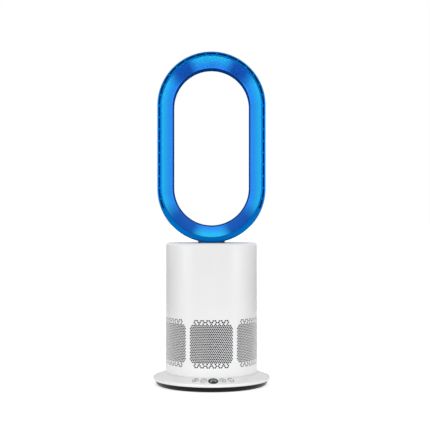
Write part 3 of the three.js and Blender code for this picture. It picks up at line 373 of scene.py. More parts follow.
class Paint(Tree):
    """The node tree of one material."""

    def __init__(self, name: str) -> None:
        """Makes the material with this name."""
        self.material = bpy.data.materials.new(name)
        self.material.use_nodes = True
        super().__init__(self.material.node_tree)
        self.place = self.node("ShaderNodeTexCoord", output="Object")

    def axes(self) -> list[Wire]:
        """The three coordinates of the place on the object, in metres."""
        parts = self.node("ShaderNodeSeparateXYZ", inputs={0: self.place})
        return [parts.also(i) for i in range(3)]

    def noise(self, size: float, detail: float = 2.0) -> Wire:
        """Soft noise from 0 to 1 whose lumps are about size millimetres."""
        inputs = {"Vector": self.place, "Scale": 1 / (size * MM), "Detail": detail}
        return self.node("ShaderNodeTexNoise", inputs=inputs)

    def mixed(self, share: Wire, first: "Colour | Wire", second: "Colour | Wire") -> Wire:
        """A colour between two, by share."""
        inputs = {0: share, MIX_FIRST: first, MIX_SECOND: second}
        return self.node("ShaderNodeMix", {"data_type": "RGBA"}, inputs, MIX_RESULT)

    def bump(self, height: Wire, depth: float) -> Wire:
        """A normal from a height of 0 to 1 that stands for depth millimetres."""
        return self.node("ShaderNodeBump", inputs={"Height": height, "Distance": depth * MM}, output="Normal")

    def surface(self, shader: Wire) -> bpy.types.Material:
        """Ends the tree with a shader and returns the material."""
        self.node("ShaderNodeOutputMaterial", inputs={"Surface": shader}, output=None)
        return self.material


class Slot(Enum):
    """Material slots of the record."""

    WHITE = "white_shell"
    BLACK = "black_gloss_shell"
    BLUE = "blue_shell"
    NAVY = "navy_plastic"
    WINDOW = "display_window"
    DARK = "dark_plastic"
    GREY = "grey_plastic"
    NYLON = "nylon"
    RUBBER = "rubber"
    STEEL = "steel"
    COPPER = "copper"
    BOARD = "circuit_board"


@dataclass(frozen=True)
class Finish:
    """A moulded or plain surface: one colour with a fine grain and a slow drift in its gloss."""

    name: str
    slot: Slot
    colour: Colour
    roughness: float
    metallic: float = 0.0
    coat: float = 0.0
    shine: float = 0.5
    grain: float = 0.9
    depth: float = 0.004
    drift: float = 0.04

    def inputs(self, paint: Paint) -> dict:
        """The values and wires of the surface.

        Args:
            paint: the material's tree.

        Returns:
            A value or wire for each input.
        """
        haze = paint.noise(38.0, 3.0)
        shade = 1 - self.drift * (haze - 0.5)
        tint = paint.node("ShaderNodeVectorMath", {"operation": "SCALE"}, {0: self.colour, "Scale": shade})
        return {
            "Base Color": tint,
            "Roughness": self.roughness * (1 + 2 * self.drift * (haze - 0.5)),
            "Metallic": self.metallic,
            "Coat Weight": self.coat,
            "Coat Roughness": 0.06,
            "Specular IOR Level": self.shine,
            "Normal": paint.bump(paint.noise(self.grain), self.depth),
        }

    def material(self) -> bpy.types.Material:
        """The material of this finish, made once."""
        known = bpy.data.materials.get(self.name)
        if known:
            return known
        paint = Paint(self.name)
        return paint.surface(paint.node("ShaderNodeBsdfPrincipled", inputs=self.inputs(paint)))


@dataclass(frozen=True)
class Lacquer(Finish):
    """Blue lacquer over a fine metal flake, lighter towards the outside of the racetrack.

    The lightening towards the outside is a painted reflection. Behind the front of the throat it is satin and
    painted dark, painted shade of the recess. On the diagonals of both arcs, where the cosine of the angle
    from the upright lies between
    two values, it turns deeper: painted shade for the dark reflections there.
    """

    # inside colour of the painted reflection that lightens the lacquer outwards
    inner: Colour = (0.0, 0.1, 0.9)
    # painted shade of the recessed throat
    throat: Colour = (0.0, 0.05, 0.25)
    throat_front: float = 100.0
    # painted shade on the arcs' diagonals (the cone) and on the whole arcs (the rim)
    deep: Colour | None = None
    # cosine ranges where the painted shade falls, on the upper arc and on the lower arc
    wedge: tuple[float, float, float, float] = (0.42, 0.73, 0.86, 0.98)
    low_wedge: tuple[float, float, float, float] = (0.3, 0.68, 0.9, 0.995)
    inner_radius: float = 72.0
    outer_radius: float = 91.0
    middle: float = 438.25
    half_straight: float = 74.75

    def inputs(self, paint: Paint) -> dict:
        """Adds to the plain finish a colour by the distance from the racetrack's centre line.

        Args:
            paint: the material's tree.

        Returns:
            The values and wires.
        """
        x, y, z = paint.axes()
        up = (abs(z - self.middle * MM) - self.half_straight * MM).most(0)
        radius = (x * x + up * up) ** 0.5
        # painted reflection: the lacquer is painted lighter from the inside of the racetrack outwards
        share = radius.ramp(self.inner_radius * MM, self.outer_radius * MM)
        colour = paint.mixed(share, self.inner, self.colour)
        # painted shade: a deeper colour where the cosine from the upright falls in a wedge, for the arcs'
        # dark reflections
        if self.deep:
            upright = up / radius
            low, high = (upright.ramp(start, full) * (1 - upright.ramp(fade, end))
                         for start, full, fade, end in (self.low_wedge, self.wedge))
            upper = z.ramp((self.middle - 5) * MM, (self.middle + 5) * MM)
            colour = paint.mixed(low * (1 - upper) + high * upper, colour, self.deep)
        flake = paint.noise(0.35, 1.0)
        # painted shade: behind the throat's front the lacquer turns to the dark throat colour
        inside = y.ramp((self.throat_front - 1.0) * MM, (self.throat_front + 1.0) * MM)
        return super().inputs(paint) | {
            "Base Color": paint.mixed(inside, colour, self.throat),
            "Roughness": self.roughness * (0.94 + 0.12 * flake) + inside * 0.45,
            "Metallic": self.metallic * (1 - inside),
        }


@dataclass(frozen=True)
class Mesh(Finish):
    """A woven screen: fine crossing threads round the tower."""

    pitch: float = 1.1

    def inputs(self, paint: Paint) -> dict:
        """Adds to the plain finish threads along and round the sleeve.

        Args:
            paint: the material's tree.

        Returns:
            The values and wires.
        """
        x, y, z = paint.axes()
        warp = (x.angle(y) * (2 * math.pi * 80 / self.pitch)).sine()
        weft = (z * (2 * math.pi / (self.pitch * MM))).sine()
        thread = warp.most(weft).ramp(-0.3, 0.9)
        low = tuple(0.25 * value for value in self.colour)
        return super().inputs(paint) | {
            "Base Color": paint.mixed(thread, low, self.colour),
            "Normal": paint.bump(thread, 0.05),
        }


@dataclass(frozen=True)
class Glow(Finish):
    """A lit mark of the display."""

    light: float = 1.0

    def inputs(self, paint: Paint) -> dict:
        """Adds to the plain finish its own light."""
        return super().inputs(paint) | {"Emission Color": self.colour, "Emission Strength": self.light}


@dataclass(frozen=True)
class Brushed(Finish):
    """Metal with fine lines along its height."""

    def inputs(self, paint: Paint) -> dict:
        """Adds to the plain finish stretched scratches.

        Args:
            paint: the material's tree.

        Returns:
            The values and wires.
        """
        inputs = {0: paint.place, 1: (6.0, 6.0, 0.5)}
        stretched = paint.node("ShaderNodeVectorMath", {"operation": "MULTIPLY"}, inputs)
        lines = paint.node("ShaderNodeTexNoise", inputs={"Vector": stretched, "Scale": 260.0, "Detail": 3.0})
        return super().inputs(paint) | {
            "Roughness": self.roughness * (0.7 + 0.6 * lines),
            "Normal": paint.bump(lines, 0.006),
        }


WHITE = Finish("white_moulding", Slot.WHITE, (0.76, 0.76, 0.765), 0.42, coat=0.12)
BLACK = Finish("gloss_black", Slot.BLACK, (0.004, 0.004, 0.005), 0.28, shine=0.15, grain=6.0, depth=0.003)
# the cone's lighter outer colour is a painted reflection, and its throat and deep colours are painted shade
CONE = Lacquer("blue_lacquer_inner", Slot.BLUE, (0.03, 0.62, 1.0), 0.26, 0.45, shine=0.0, grain=4.0,
               depth=0.002, inner=(0.027, 0.3, 1.0), throat_front=-1.5, deep=(0.011, 0.12, 0.52))
# the rim's deep colour is painted shade on its upper and lower arcs
BAND = Lacquer("blue_lacquer_rim", Slot.BLUE, (0.0, 0.17, 0.62), 0.3, 0.9, shine=0.0, grain=4.0, depth=0.002,
               inner=(0.0, 0.18, 0.64), inner_radius=90.0, outer_radius=99.0, deep=(0.0, 0.13, 0.44),
               wedge=(0.0, 0.3, 2.0, 3.0), low_wedge=(0.0, 0.3, 2.0, 3.0))
SHELL = Lacquer("blue_lacquer_rear", Slot.BLUE, (0.0, 0.16, 0.6), 0.3, 0.9, shine=0.2, grain=4.0, depth=0.002,
                inner=(0.0, 0.17, 0.6))
NAVY = Finish("navy_moulding", Slot.NAVY, (0.002, 0.009, 0.05), 0.3)
WINDOW = Finish("smoked_window", Slot.WINDOW, (0.008, 0.008, 0.01), 0.12, shine=0.3, grain=8.0, depth=0.001)
DIGITS = Glow("display_digits", Slot.WINDOW, (0.3, 0.33, 0.35), 0.4, light=0.3)
INK = Finish("grey_print", Slot.DARK, (0.06, 0.06, 0.063), 0.5, shine=0.2)
PANEL = Finish("white_fascia", Slot.WHITE, (0.73, 0.73, 0.735), 0.5)
DARK = Finish("dark_moulding", Slot.DARK, (0.03, 0.032, 0.036), 0.5, depth=0.01)
SCREEN = Mesh("screen_weave", Slot.DARK, (0.006, 0.006, 0.007), 0.7, shine=0.0)
GREY = Finish("grey_moulding", Slot.GREY, (0.3, 0.31, 0.33), 0.5, depth=0.01)
NYLON = Finish("natural_nylon", Slot.NYLON, (0.78, 0.75, 0.65), 0.45)
RUBBER = Finish("black_rubber", Slot.RUBBER, (0.02, 0.02, 0.02), 0.8, depth=0.02)
STEEL = Brushed("zinc_steel", Slot.STEEL, (0.55, 0.56, 0.57), 0.32, 1.0)
COPPER = Brushed("copper_winding", Slot.COPPER, (0.55, 0.22, 0.09), 0.35, 1.0)
BOARD = Finish("solder_mask", Slot.BOARD, (0.02, 0.13, 0.05), 0.4)


def dress(obj: bpy.types.Object, finish: Finish, body: str, *replaces: str) -> bpy.types.Object:
    """Gives a piece its finish, its body and the CAD nodes that it stands for.

    Args:
        obj: the piece.
        finish: its finish.
        body: the body that it rides on.
        replaces: names of the nodes.

    Returns:
        The same piece.
    """
    obj.data.materials.clear()
    obj.data.materials.append(finish.material())
    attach(obj, body)
    if replaces:
        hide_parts(*replaces)
    log.info("%s: %d faces, %s, on %s", obj.name, len(obj.data.polygons), finish.name, body)
    return obj


# ---------------------------------------------------------------- base


@dataclass(frozen=True)
class Slope:
    """The sloping ring of the base, and places on it."""

    top_radius: float = 84.8
    top: float = 23.7
    bottom_radius: float = 106.0
    bottom: float = 15.9
    circle: float = 95.4
    turn: float = 2.0

    @property
    def angle(self) -> float:
        """Angle of the slope in radians."""
        return math.atan2(self.top - self.bottom, self.bottom_radius - self.top_radius)

    def height(self, radius: np.ndarray | float) -> np.ndarray | float:
        """Height of the slope at a radius."""
        return self.top - (radius - self.top_radius) * math.tan(self.angle)

    def frame(self, degrees: float, stretch: float = 1.0) -> tuple[np.ndarray, np.ndarray]:
        """Axes (across, up the slope, outwards) and origin at a place on the control circle.

        Args:
            degrees: angle from the display.
            stretch: how much longer things get up the slope.

        Returns:
            The axes as the rows of a matrix, and the origin.
        """
        turn = math.radians(self.turn + degrees)
        outward = np.array([math.sin(turn), -math.cos(turn), 0.0])
        across = np.array([math.cos(turn), math.sin(turn), 0.0])
        normal = outward * math.sin(self.angle) + np.array([0, 0, math.cos(self.angle)])
        origin = outward * self.circle + np.array([0, 0, self.height(self.circle)])
        return np.stack([across, np.cross(normal, across) * stretch, normal]), origin


@dataclass(frozen=True)
class Base:
    """The round base with its fascia, keys, display, feet and inlet."""

    sides: int = 160
    radius: float = 108.0
    wall_inside: float = 102.6
    pan_floor: float = 3.0
    pan_rim: float = 9.6
    rim_top: float = 15.7
    deck: float = 23.4
    deck_under: float = 21.0
    hub_hole: float = 24.6
    slope: Slope = Slope()
    keys: tuple[tuple[str, float], ...] = (
        ("power_key", -19.2), ("slower_key", -10.2), ("faster_key", 10.2), ("timer_key", 19.2),
    )
    key_radius: float = 5.8
    key_stretch: float = 1.32
    lens_radius: float = 9.0
    lens_stretch: float = 1.1
    plate: float = 1.2
    corners: tuple[tuple[float, float], ...] = ((84.5, math.radians(59.3)), (106.0, math.radians(35.0)))
    screw_place: float = 48.08
    screw_well: float = 3.4
    inlet_end: float = 112.0
    inlet_hole: float = 3.2
    inlet_depth: float = 9.0

    # the bars (x, y, width, height) of the signs: power, minus, plus and a clock's two hands
    MARKS: ClassVar = {
        "power_key": [(0, 2.1, 0.7, 2.2)],
        "slower_key": [(0, 0, 4.0, 1.2)],
        "faster_key": [(0, 0, 4.0, 1.2), (0, 1.4, 0.8, 1.7), (0, -1.4, 0.8, 1.7)],
        "timer_key": [(-0.9, 0.6, 0.7, 4.0), (0.6, -1.0, 2.3, 0.9)],
    }

    def build(self) -> None:
        """Makes all the pieces of the base."""
        self.pan()
        self.cover()
        self.panel()
        self.lens()
        for name, turn in self.keys:
            self.key(name, turn)
        self.inlet()
        for number in range(1, 6):
            self.foot(f"foot_{number}")

    def drills(self, margin: float, deep: float) -> list[Solid]:
        """Cutters for the display and the keys.

        Args:
            margin: how much wider than the display its own is.
            deep: how far they reach below the slope.

        Returns:
            One oval prism each.
        """
        places = [(0.0, self.lens_radius + margin, self.lens_stretch)]
        places += [(turn, self.key_radius + GAP, self.key_stretch) for _, turn in self.keys]
        return [Solid().prism(circle(radius, 48), -deep, 3.0).placed(*self.slope.frame(turn, stretch))
                for turn, radius, stretch in places]

    def inlet_space(self) -> Solid:
        """The space that the inlet takes, with a gap round it, out through the rear of the base."""
        low, high = (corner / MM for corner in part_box("power_inlet"))
        x0, x1, y0 = low.x - GAP, high.x + GAP, low.y - GAP
        plan = np.array([[x0, y0], [x1, y0], [x1, self.inlet_end], [x0, self.inlet_end]])
        return Solid().prism(plan, low.z - GAP, high.z + GAP)

    def pan(self) -> None:
        """The black pan with its flared skirt."""
        low, high, rim = self.pan_floor, self.pan_floor + 2.0, self.pan_rim
        profile = eased([
            (0, low), (97.0, low), (98.0, 0.8, 0.4), (100.4, 0.8, 0.8), (103.4, 4.6, 2.6), (105.0, rim, 0.3),
            (self.wall_inside, rim, 0.3), (98.4, high), (0, high),
        ])
        obj = Solid().lathe(profile, self.sides, closed=False).build("base_pan_shell")
        places = self.screw_place * np.array([(1, 1), (-1, 1), (-1, -1), (1, -1)])
        wells = [Solid().prism(circle(self.screw_well, 24, place), 0, 6) for place in places]
        dress(carve(obj, self.inlet_space(), *wells), BLACK, "base", "base_pan")

    def cover(self) -> None:
        """The white cover with its rim, slope and deck, cut out for the fascia, keys, display and inlet."""
        slope, deck, under, side = self.slope, self.deck, self.deck_under, self.wall_inside
        seat = self.pan_rim + GAP
        profile = eased([
            (self.hub_hole, under), (86.0, under), (side, 14.6), (side, seat), (self.radius, seat, 1.6),
            (self.radius, self.rim_top, 1.5), (slope.bottom_radius, slope.bottom, 0.6),
            (slope.top_radius, slope.top, 0.5), (slope.top_radius - 0.3, deck), (self.hub_hole, deck),
        ])
        obj = Solid().lathe(profile, self.sides).build("base_cover_shell")
        cutters = [self.fascia(GAP, self.plate + GAP, 2.0), *self.drills(-1.0, 8), self.inlet_space()]
        dress(carve(obj, *cutters), WHITE, "base", "base_cover")

    def fascia(self, margin: float, deep: float, over: float = 0.0) -> Solid:
        """The plate in the front of the slope, between two straight edges in plan.

        At the radius r its half angle is that of the point of the edge line at that radius.

        Args:
            margin: how much larger it is at its borders.
            deep: depth of its underside below the slope.
            over: height of its top above the slope.

        Returns:
            The plate.
        """
        start, end = (size * np.array([math.sin(a), math.cos(a)]) for size, a in self.corners)
        along = end - start
        near, far = self.slope.top_radius + GAP - margin, self.slope.bottom_radius - GAP + margin
        radius = np.linspace(near, far, 15)
        a, b = along @ along, start @ along
        share = (-b + np.sqrt(b * b - a * (start @ start - radius**2))) / a
        line = start + share[:, None] * along
        half = np.arctan2(line[:, 0], line[:, 1]) + margin / radius
        turn = np.linspace(-1, 1, 97)[None] * half[:, None]
        ring = np.stack([radius[:, None] * np.sin(turn), -radius[:, None] * np.cos(turn)], -1)
        rise = 1 / math.cos(self.slope.angle)

        def layer(depth: float) -> np.ndarray:
            """The plate's points at a depth below the slope."""
            height = self.slope.height(radius) - depth * rise
            return np.concatenate([ring, np.broadcast_to(height[:, None, None], (*ring.shape[:2], 1))], -1)

        return Solid().patch(layer(-over), layer(deep))

    def panel(self) -> None:
        """The white fascia with holes for the keys and the display."""
        obj = self.fascia(0, self.plate).build("control_panel_plate")
        dress(carve(obj, *self.drills(GAP, 6)), PANEL, "base", "control_panel")

    def lens(self) -> None:
        """The round display window with its two lit digits."""
        r = self.lens_radius
        profile = eased([(0, -self.plate), (r, -self.plate), (r, 0.2, 0.5), (0, 0.45)])
        frame = self.slope.frame(0, self.lens_stretch)
        obj = Solid().lathe(profile, 64, closed=False).placed(*frame).build("display_window")
        dress(obj, WINDOW, "base", "display_lens")
        digits = Solid()
        for lit, x in (("abged", -2.9), ("fgbc", 2.9)):
            self.segments(digits, lit, x)
        dress(digits.placed(*frame).build("display_digits"), DIGITS, "base")

    @staticmethod
    def segments(solid: Solid, lit: str, x: float) -> None:
        """Adds the lit bars of a seven-segment digit, which leans a little, centred at x.

        Args:
            solid: the solid that takes them.
            lit: the letters of the lit bars, from a at the top round to f, and g in the middle.
            x: the digit's place.
        """
        half_width, half_height, thick = 1.7, 3.6, 0.55
        places = {"a": (0, 2), "b": (1, 1), "c": (1, -1), "d": (0, -2), "e": (-1, -1), "f": (-1, 1),
                  "g": (0, 0)}
        for name in lit:
            side, level = places[name]
            middle = [x + side * half_width, level * half_height / 2]
            half = (thick, half_height / 2 - 0.35) if side else (half_width - 0.35, thick)
            box = np.array(SQUARE) * half + middle
            box[:, 0] += 0.12 * box[:, 1]
            solid.prism(box, 0.15, 0.5)

    def key(self, name: str, turn: float) -> None:
        """A key with its stem, and the print on it.

        Args:
            name: its name, and its body's.
            turn: its place from the display.
        """
        frame = self.slope.frame(turn, self.key_stretch)
        r = self.key_radius
        profile = eased([
            (0, -4.7), (2, -4.7), (2, -3.7), (r + 1.2, -3.7), (r + 1.2, -2.7), (r, -2.7),
            (r, 0.8, 0.45), (4.2, 0.62, 0.8), (0, 0.5),
        ])
        dress(Solid().lathe(profile, 56, closed=False).placed(*frame).build(f"{name}_cap"), WHITE, name, name)
        marks = Solid()
        self.arc(marks, 4.5, 5.3, 0, 360, 0.9)
        if name == "power_key":
            self.arc(marks, 1.5, 2.2, 125, 415, 0.9)
        for bar in self.MARKS[name]:
            self.bar(marks, *bar)
        dress(marks.placed(*frame).build(f"{name}_print"), INK, name)

    @staticmethod
    def arc(solid: Solid, inner: float, outer: float, start: float, end: float, squeeze: float = 1.0) -> None:
        """Adds a flat arc between two radii and two angles in degrees.

        Args:
            solid: the solid that takes it.
            inner: radius of its inside.
            outer: radius of its outside.
            start: angle of its start.
            end: angle of its end.
            squeeze: height of its inside by its width.
        """
        whole = end - start >= 360
        angle = np.radians(np.linspace(start, end, 49, endpoint=not whole))
        ring = np.stack([np.cos(angle), np.sin(angle)], -1)
        section = [(inner, squeeze, 0.45), (outer, 1, 0.45), (outer, 1, 0.78), (inner, squeeze, 0.78)]
        rows = np.stack([np.hstack([ring * [size, size * high], np.full((len(angle), 1), level)])
                         for size, high, level in section], 1)
        solid.grid(rows, along=whole)
        if not whole:
            solid.cells(rows[[0, -1]])

    @staticmethod
    def bar(solid: Solid, x: float, y: float, width: float, height: float) -> None:
        """Adds a flat bar centred at x, y."""
        solid.prism(np.array(SQUARE) * [width / 2, height / 2] + [x, y], 0.4, 0.7)

    def inlet(self) -> None:
        """The low-voltage inlet in the rear of the base, with its centre pin."""
        low, high = (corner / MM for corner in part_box("power_inlet"))
        middle = (low.z + high.z) / 2
        ends = ((low.x, low.z), (high.x, low.z), (high.x, high.z), (low.x, high.z))
        outline = eased([(*end, 0.8) for end in ends])
        turned = np.array([[1.0, 0, 0], [0, 0, 1.0], [0, -1.0, 0]])
        body = Solid().prism(outline, -high.y, -low.y).placed(turned, np.zeros(3)).build("inlet_body")
        mouth = circle(self.inlet_hole, 40, (0, middle))
        bore = Solid().prism(mouth, -high.y - 1, -high.y + self.inlet_depth)
        dress(carve(body, bore.placed(turned, np.zeros(3))), DARK, "base", "power_inlet")
        pin = eased([(0, 0), (0.95, 0), (0.95, 8.6, 0.4), (0, 8.6)])
        upright = np.array([[1.0, 0, 0], [0, 0, 1.0], [0, 1.0, 0]])
        root = np.array([0, high.y - self.inlet_depth - 0.1, middle])
        dress(Solid().lathe(pin, 24, closed=False).placed(upright, root).build("inlet_pin"), STEEL, "base")

    def foot(self, name: str) -> None:
        """A rubber foot.

        Args:
            name: name of its node.
        """
        low, high = (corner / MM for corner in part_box(name))
        radius = (high.x - low.x) / 2
        profile = eased([(0, 0), (radius, 0, 0.7), (radius, high.z, 0.3), (0, high.z)])
        centre = np.array([(low.x + high.x) / 2, (low.y + high.y) / 2, 0])
        pad = Solid().lathe(profile, 40, closed=False).placed(np.eye(3), centre)
        dress(pad.build(f"{name}_pad"), RUBBER, "base", name)


# ---------------------------------------------------------------- tower


@dataclass(frozen=True)
class Tower:
    """The perforated tube with its top and side catches."""

    radius: float = 84.5
    wall: float = 2.2
    thin: float = 1.0  # wall round the holes
    foot: float = 23.6
    crown: float = 261.9
    edge: float = 4.0
    columns: int = 288
    field_columns: int = 48
    rows: int = 29
    pitch: float = 2.979
    first_row: float = 124.9
    hole: tuple[float, float] = (1.72, 1.46)
    catch_span: tuple[float, float] = (137.5, 155.0)
    catch_half: float = 4.0
    catch_proud: float = 0.5
    middle_ring: float = 205.0
    neck_hole: float = 25.3
    cover: float = 2.3
    cover_seat: float = 250.9

    def build(self) -> None:
        """Makes all the pieces of the tower."""
        self.shell()
        self.top()
        for name, side in (("side_catch_right", 1), ("side_catch_left", -1)):
            self.catch(name, side)

    def holes_of(self, row: int) -> np.ndarray:
        """Columns with a hole in a row of a field, counted from its centre line.

        The three rows at either end make a pattern of rings, the fourth is shorter and the others are full.

        Args:
            row: number of the row from the top.

        Returns:
            The columns, sorted.
        """
        edge = min(row, self.rows - 1 - row)
        ends = [[2, 4, 8, 10, 14, 16], [1, 5, 7, 11, 13, 17], [0, 4, 8, 12, 16], range(1, 20, 2)]
        side = np.array(ends[edge] if edge < len(ends) else range(row % 2, 22, 2))
        return np.unique(np.concatenate([side, -side]))

    @property
    def unit(self) -> float:
        """Width of a column on the outside of the tube."""
        return 2 * math.pi * self.radius / self.columns

    def wrapped(self, column: np.ndarray, height: np.ndarray | float, radius: float) -> np.ndarray:
        """Points round the tube, whose columns are counted from the front.

        Args:
            column: place round the tube.
            height: height.
            radius: distance from the axis.

        Returns:
            The points.
        """
        turn = column * (2 * np.pi / self.columns)
        return np.stack([radius * np.sin(turn), -radius * np.cos(turn), height + 0 * turn], -1)

    def bricks(self) -> tuple[np.ndarray, np.ndarray]:
        """Centres (column, height) of the bricks with a hole and of those without.

        The rows are laid like bricks two columns wide, and every second row is shifted by one column.
        """
        with_hole, plain = [], []
        for row in range(self.rows):
            columns = np.arange(row % 2, self.columns, 2)
            offset = (columns + self.field_columns // 2) % self.field_columns - self.field_columns // 2
            hole = np.isin(offset, self.holes_of(row))
            height = self.first_row - row * self.pitch
            for mask, out in ((hole, with_hole), (~hole, plain)):
                out.append(np.stack([columns[mask], np.full(mask.sum(), height)], -1))
        return np.concatenate(with_hole), np.concatenate(plain)

    def shell(self) -> None:
        """The tube: bricks round every hole, and the plain bands below and above them.

        A brick with a hole is four rings of eight points: its border and the oval, outside and then inside.
        """
        solid = Solid()
        outer, inner = self.radius, self.radius - self.thin
        with_hole, plain = self.bricks()
        border = np.array([[1, 0], [1, 1], [0, 1], [-1, 1], [-1, 0], [-1, -1], [0, -1], [1, -1]], float)
        turn = np.arctan2(border[:, 1], border[:, 0])
        hole = np.stack([np.cos(turn) / self.unit, np.sin(turn)], -1) * self.hole
        ring = border * [1, self.pitch / 2]
        for radius in (outer, inner):
            edge = plain[:, None] + ring
            solid.cells(self.wrapped(edge[..., 0], edge[..., 1], radius))
        levels = [(ring, outer), (hole, outer), (hole, inner), (ring, inner)]
        rims = [(with_hole[:, None] + loop, radius) for loop, radius in levels]
        points = np.stack([self.wrapped(rim[..., 0], rim[..., 1], radius) for rim, radius in rims], 1)
        number = np.arange(points.size // 3).reshape(points.shape[:3])
        near, far = number[:, :-1], number[:, 1:]
        quads = np.stack([near, np.roll(near, -1, 2), np.roll(far, -1, 2), far], -1)
        solid.add(points.reshape(-1, 3), quads.reshape(-1, 4))
        self.low_band(solid)
        self.high_band(solid)
        dress(solid.build("tower_tube", sharp=40), WHITE, "tower", "tower_shell")

    def rings(self, profile: Sequence[tuple[float, float]], column: np.ndarray) -> np.ndarray:
        """One ring of points round the tube for each (radius, height) of a profile."""
        return np.stack([self.wrapped(column, height, radius) for radius, height in profile])

    def low_band(self, solid: Solid) -> None:
        """Adds the plain band below the holes, whose inside meets the thin wall round them.

        Args:
            solid: the solid that takes it.
        """
        column = np.arange(self.columns, dtype=float)
        outer, inner, start = self.radius, self.radius - self.wall, self.foot + 0.5
        end = self.first_row - (self.rows - 0.5) * self.pitch
        for profile in (
            [(outer, start), (outer, end)],
            [(inner, start), (inner, end - 2), (outer - self.thin, end)],
            [(outer, start), (outer - 0.15, self.foot), (inner, self.foot), (inner, start)],
        ):
            solid.grid(self.rings(profile, column), along=False)

    def high_band(self, solid: Solid) -> None:
        """Adds the plain band above the holes, with the windows of the catches, the rounded edge and the lip.

        Its profile runs up the outside, over the edge and down the inside. At each catch the columns are
        moved so that four of them are as wide as the window.

        Args:
            solid: the solid that takes it.
        """
        outer, inner = self.radius, self.radius - self.wall
        start = self.first_row + self.pitch / 2
        low, high = self.catch_span
        even = np.arange(self.columns, dtype=float)
        column = even.copy()
        middles = (self.columns // 4, 3 * self.columns // 4)
        for middle in middles:
            column[middle - 2 : middle + 3] = middle + np.linspace(-1, 1, 5) * self.catch_half / self.unit
        bend = self.crown - self.edge
        lip = inner - self.edge + self.wall - GAP
        outside = [(outer, level) for level in (start, low, high, self.middle_ring, bend)]
        over = [(outer - self.edge * (1 - math.cos(a)), bend + self.edge * math.sin(a))
                for a in np.linspace(0, np.pi / 2, 9)[1:]]
        floor = self.crown - self.wall
        under = [(lip, self.crown), (lip, floor), (inner - 0.4, floor - 1.2), (inner, bend)]
        inside = [(inner, level) for level in (self.middle_ring, high, low, start + 2)]
        inside.append((outer - self.thin, start))
        rows = self.rings(outside + over + under + inside, column)
        rows[[0, -1]] = self.rings([outside[0], inside[-1]], even)
        front, back = (1, 2), (len(rows) - 3, len(rows) - 4)
        skip = np.zeros((len(rows) - 1, self.columns), bool)
        for middle in middles:
            skip[[front[0], back[1]], middle - 2 : middle + 2] = True
            across = np.arange(middle - 2, middle + 3)
            loops = [np.concatenate([rows[i, across], rows[j, across[::-1]]]) for i, j in (front, back)]
            solid.grid(np.stack(loops), along=False)
        solid.grid(rows, along=False, skip=skip)

    def top(self) -> None:
        """The flat cover of the tower round the neck."""
        edge, under, thick = self.radius - self.edge - GAP, self.crown - self.cover, self.cover
        profile = eased([
            (self.neck_hole, under), (edge - thick, under), (edge - thick, self.cover_seat),
            (edge, self.cover_seat), (edge, self.crown, 0.6), (self.neck_hole, self.crown, 0.4),
        ])
        dress(Solid().lathe(profile, 128).build("tower_top"), WHITE, "tower", "top_cover")

    def catch(self, name: str, side: int) -> None:
        """A side catch: a plate that follows the tube, with a groove across its middle.

        Args:
            name: its name, and its body's.
            side: 1 at the right of the picture, -1 at the left.
        """
        height = np.linspace(self.catch_span[0] + GAP, self.catch_span[1] - GAP, 41)
        middle = sum(self.catch_span) / 2
        share = np.linspace(-1, 1, 13)
        half = (self.catch_half - GAP) / self.radius
        groove = 0.8 * np.exp(-(((height - middle) / 1.1) ** 2))
        edge = 0.5 * (np.abs(height - middle) / (self.catch_span[1] - middle - GAP)) ** 12
        round_side = 0.35 * np.abs(share) ** 8
        radius = (self.radius + self.catch_proud - groove - edge)[:, None] - round_side[None]
        turn = side * np.pi / 2 + share * half

        def layer(distance: np.ndarray) -> np.ndarray:
            """The catch's points at a distance from the axis."""
            x, y = distance * np.sin(turn), -distance * np.cos(turn)
            return np.stack([x, y, height[:, None] + 0 * distance], -1)

        solid = Solid().patch(layer(radius), layer(np.full_like(radius, 80.0)))
        dress(solid.build(f"{name}_plate"), WHITE, name, name)


# ---------------------------------------------------------------- loop


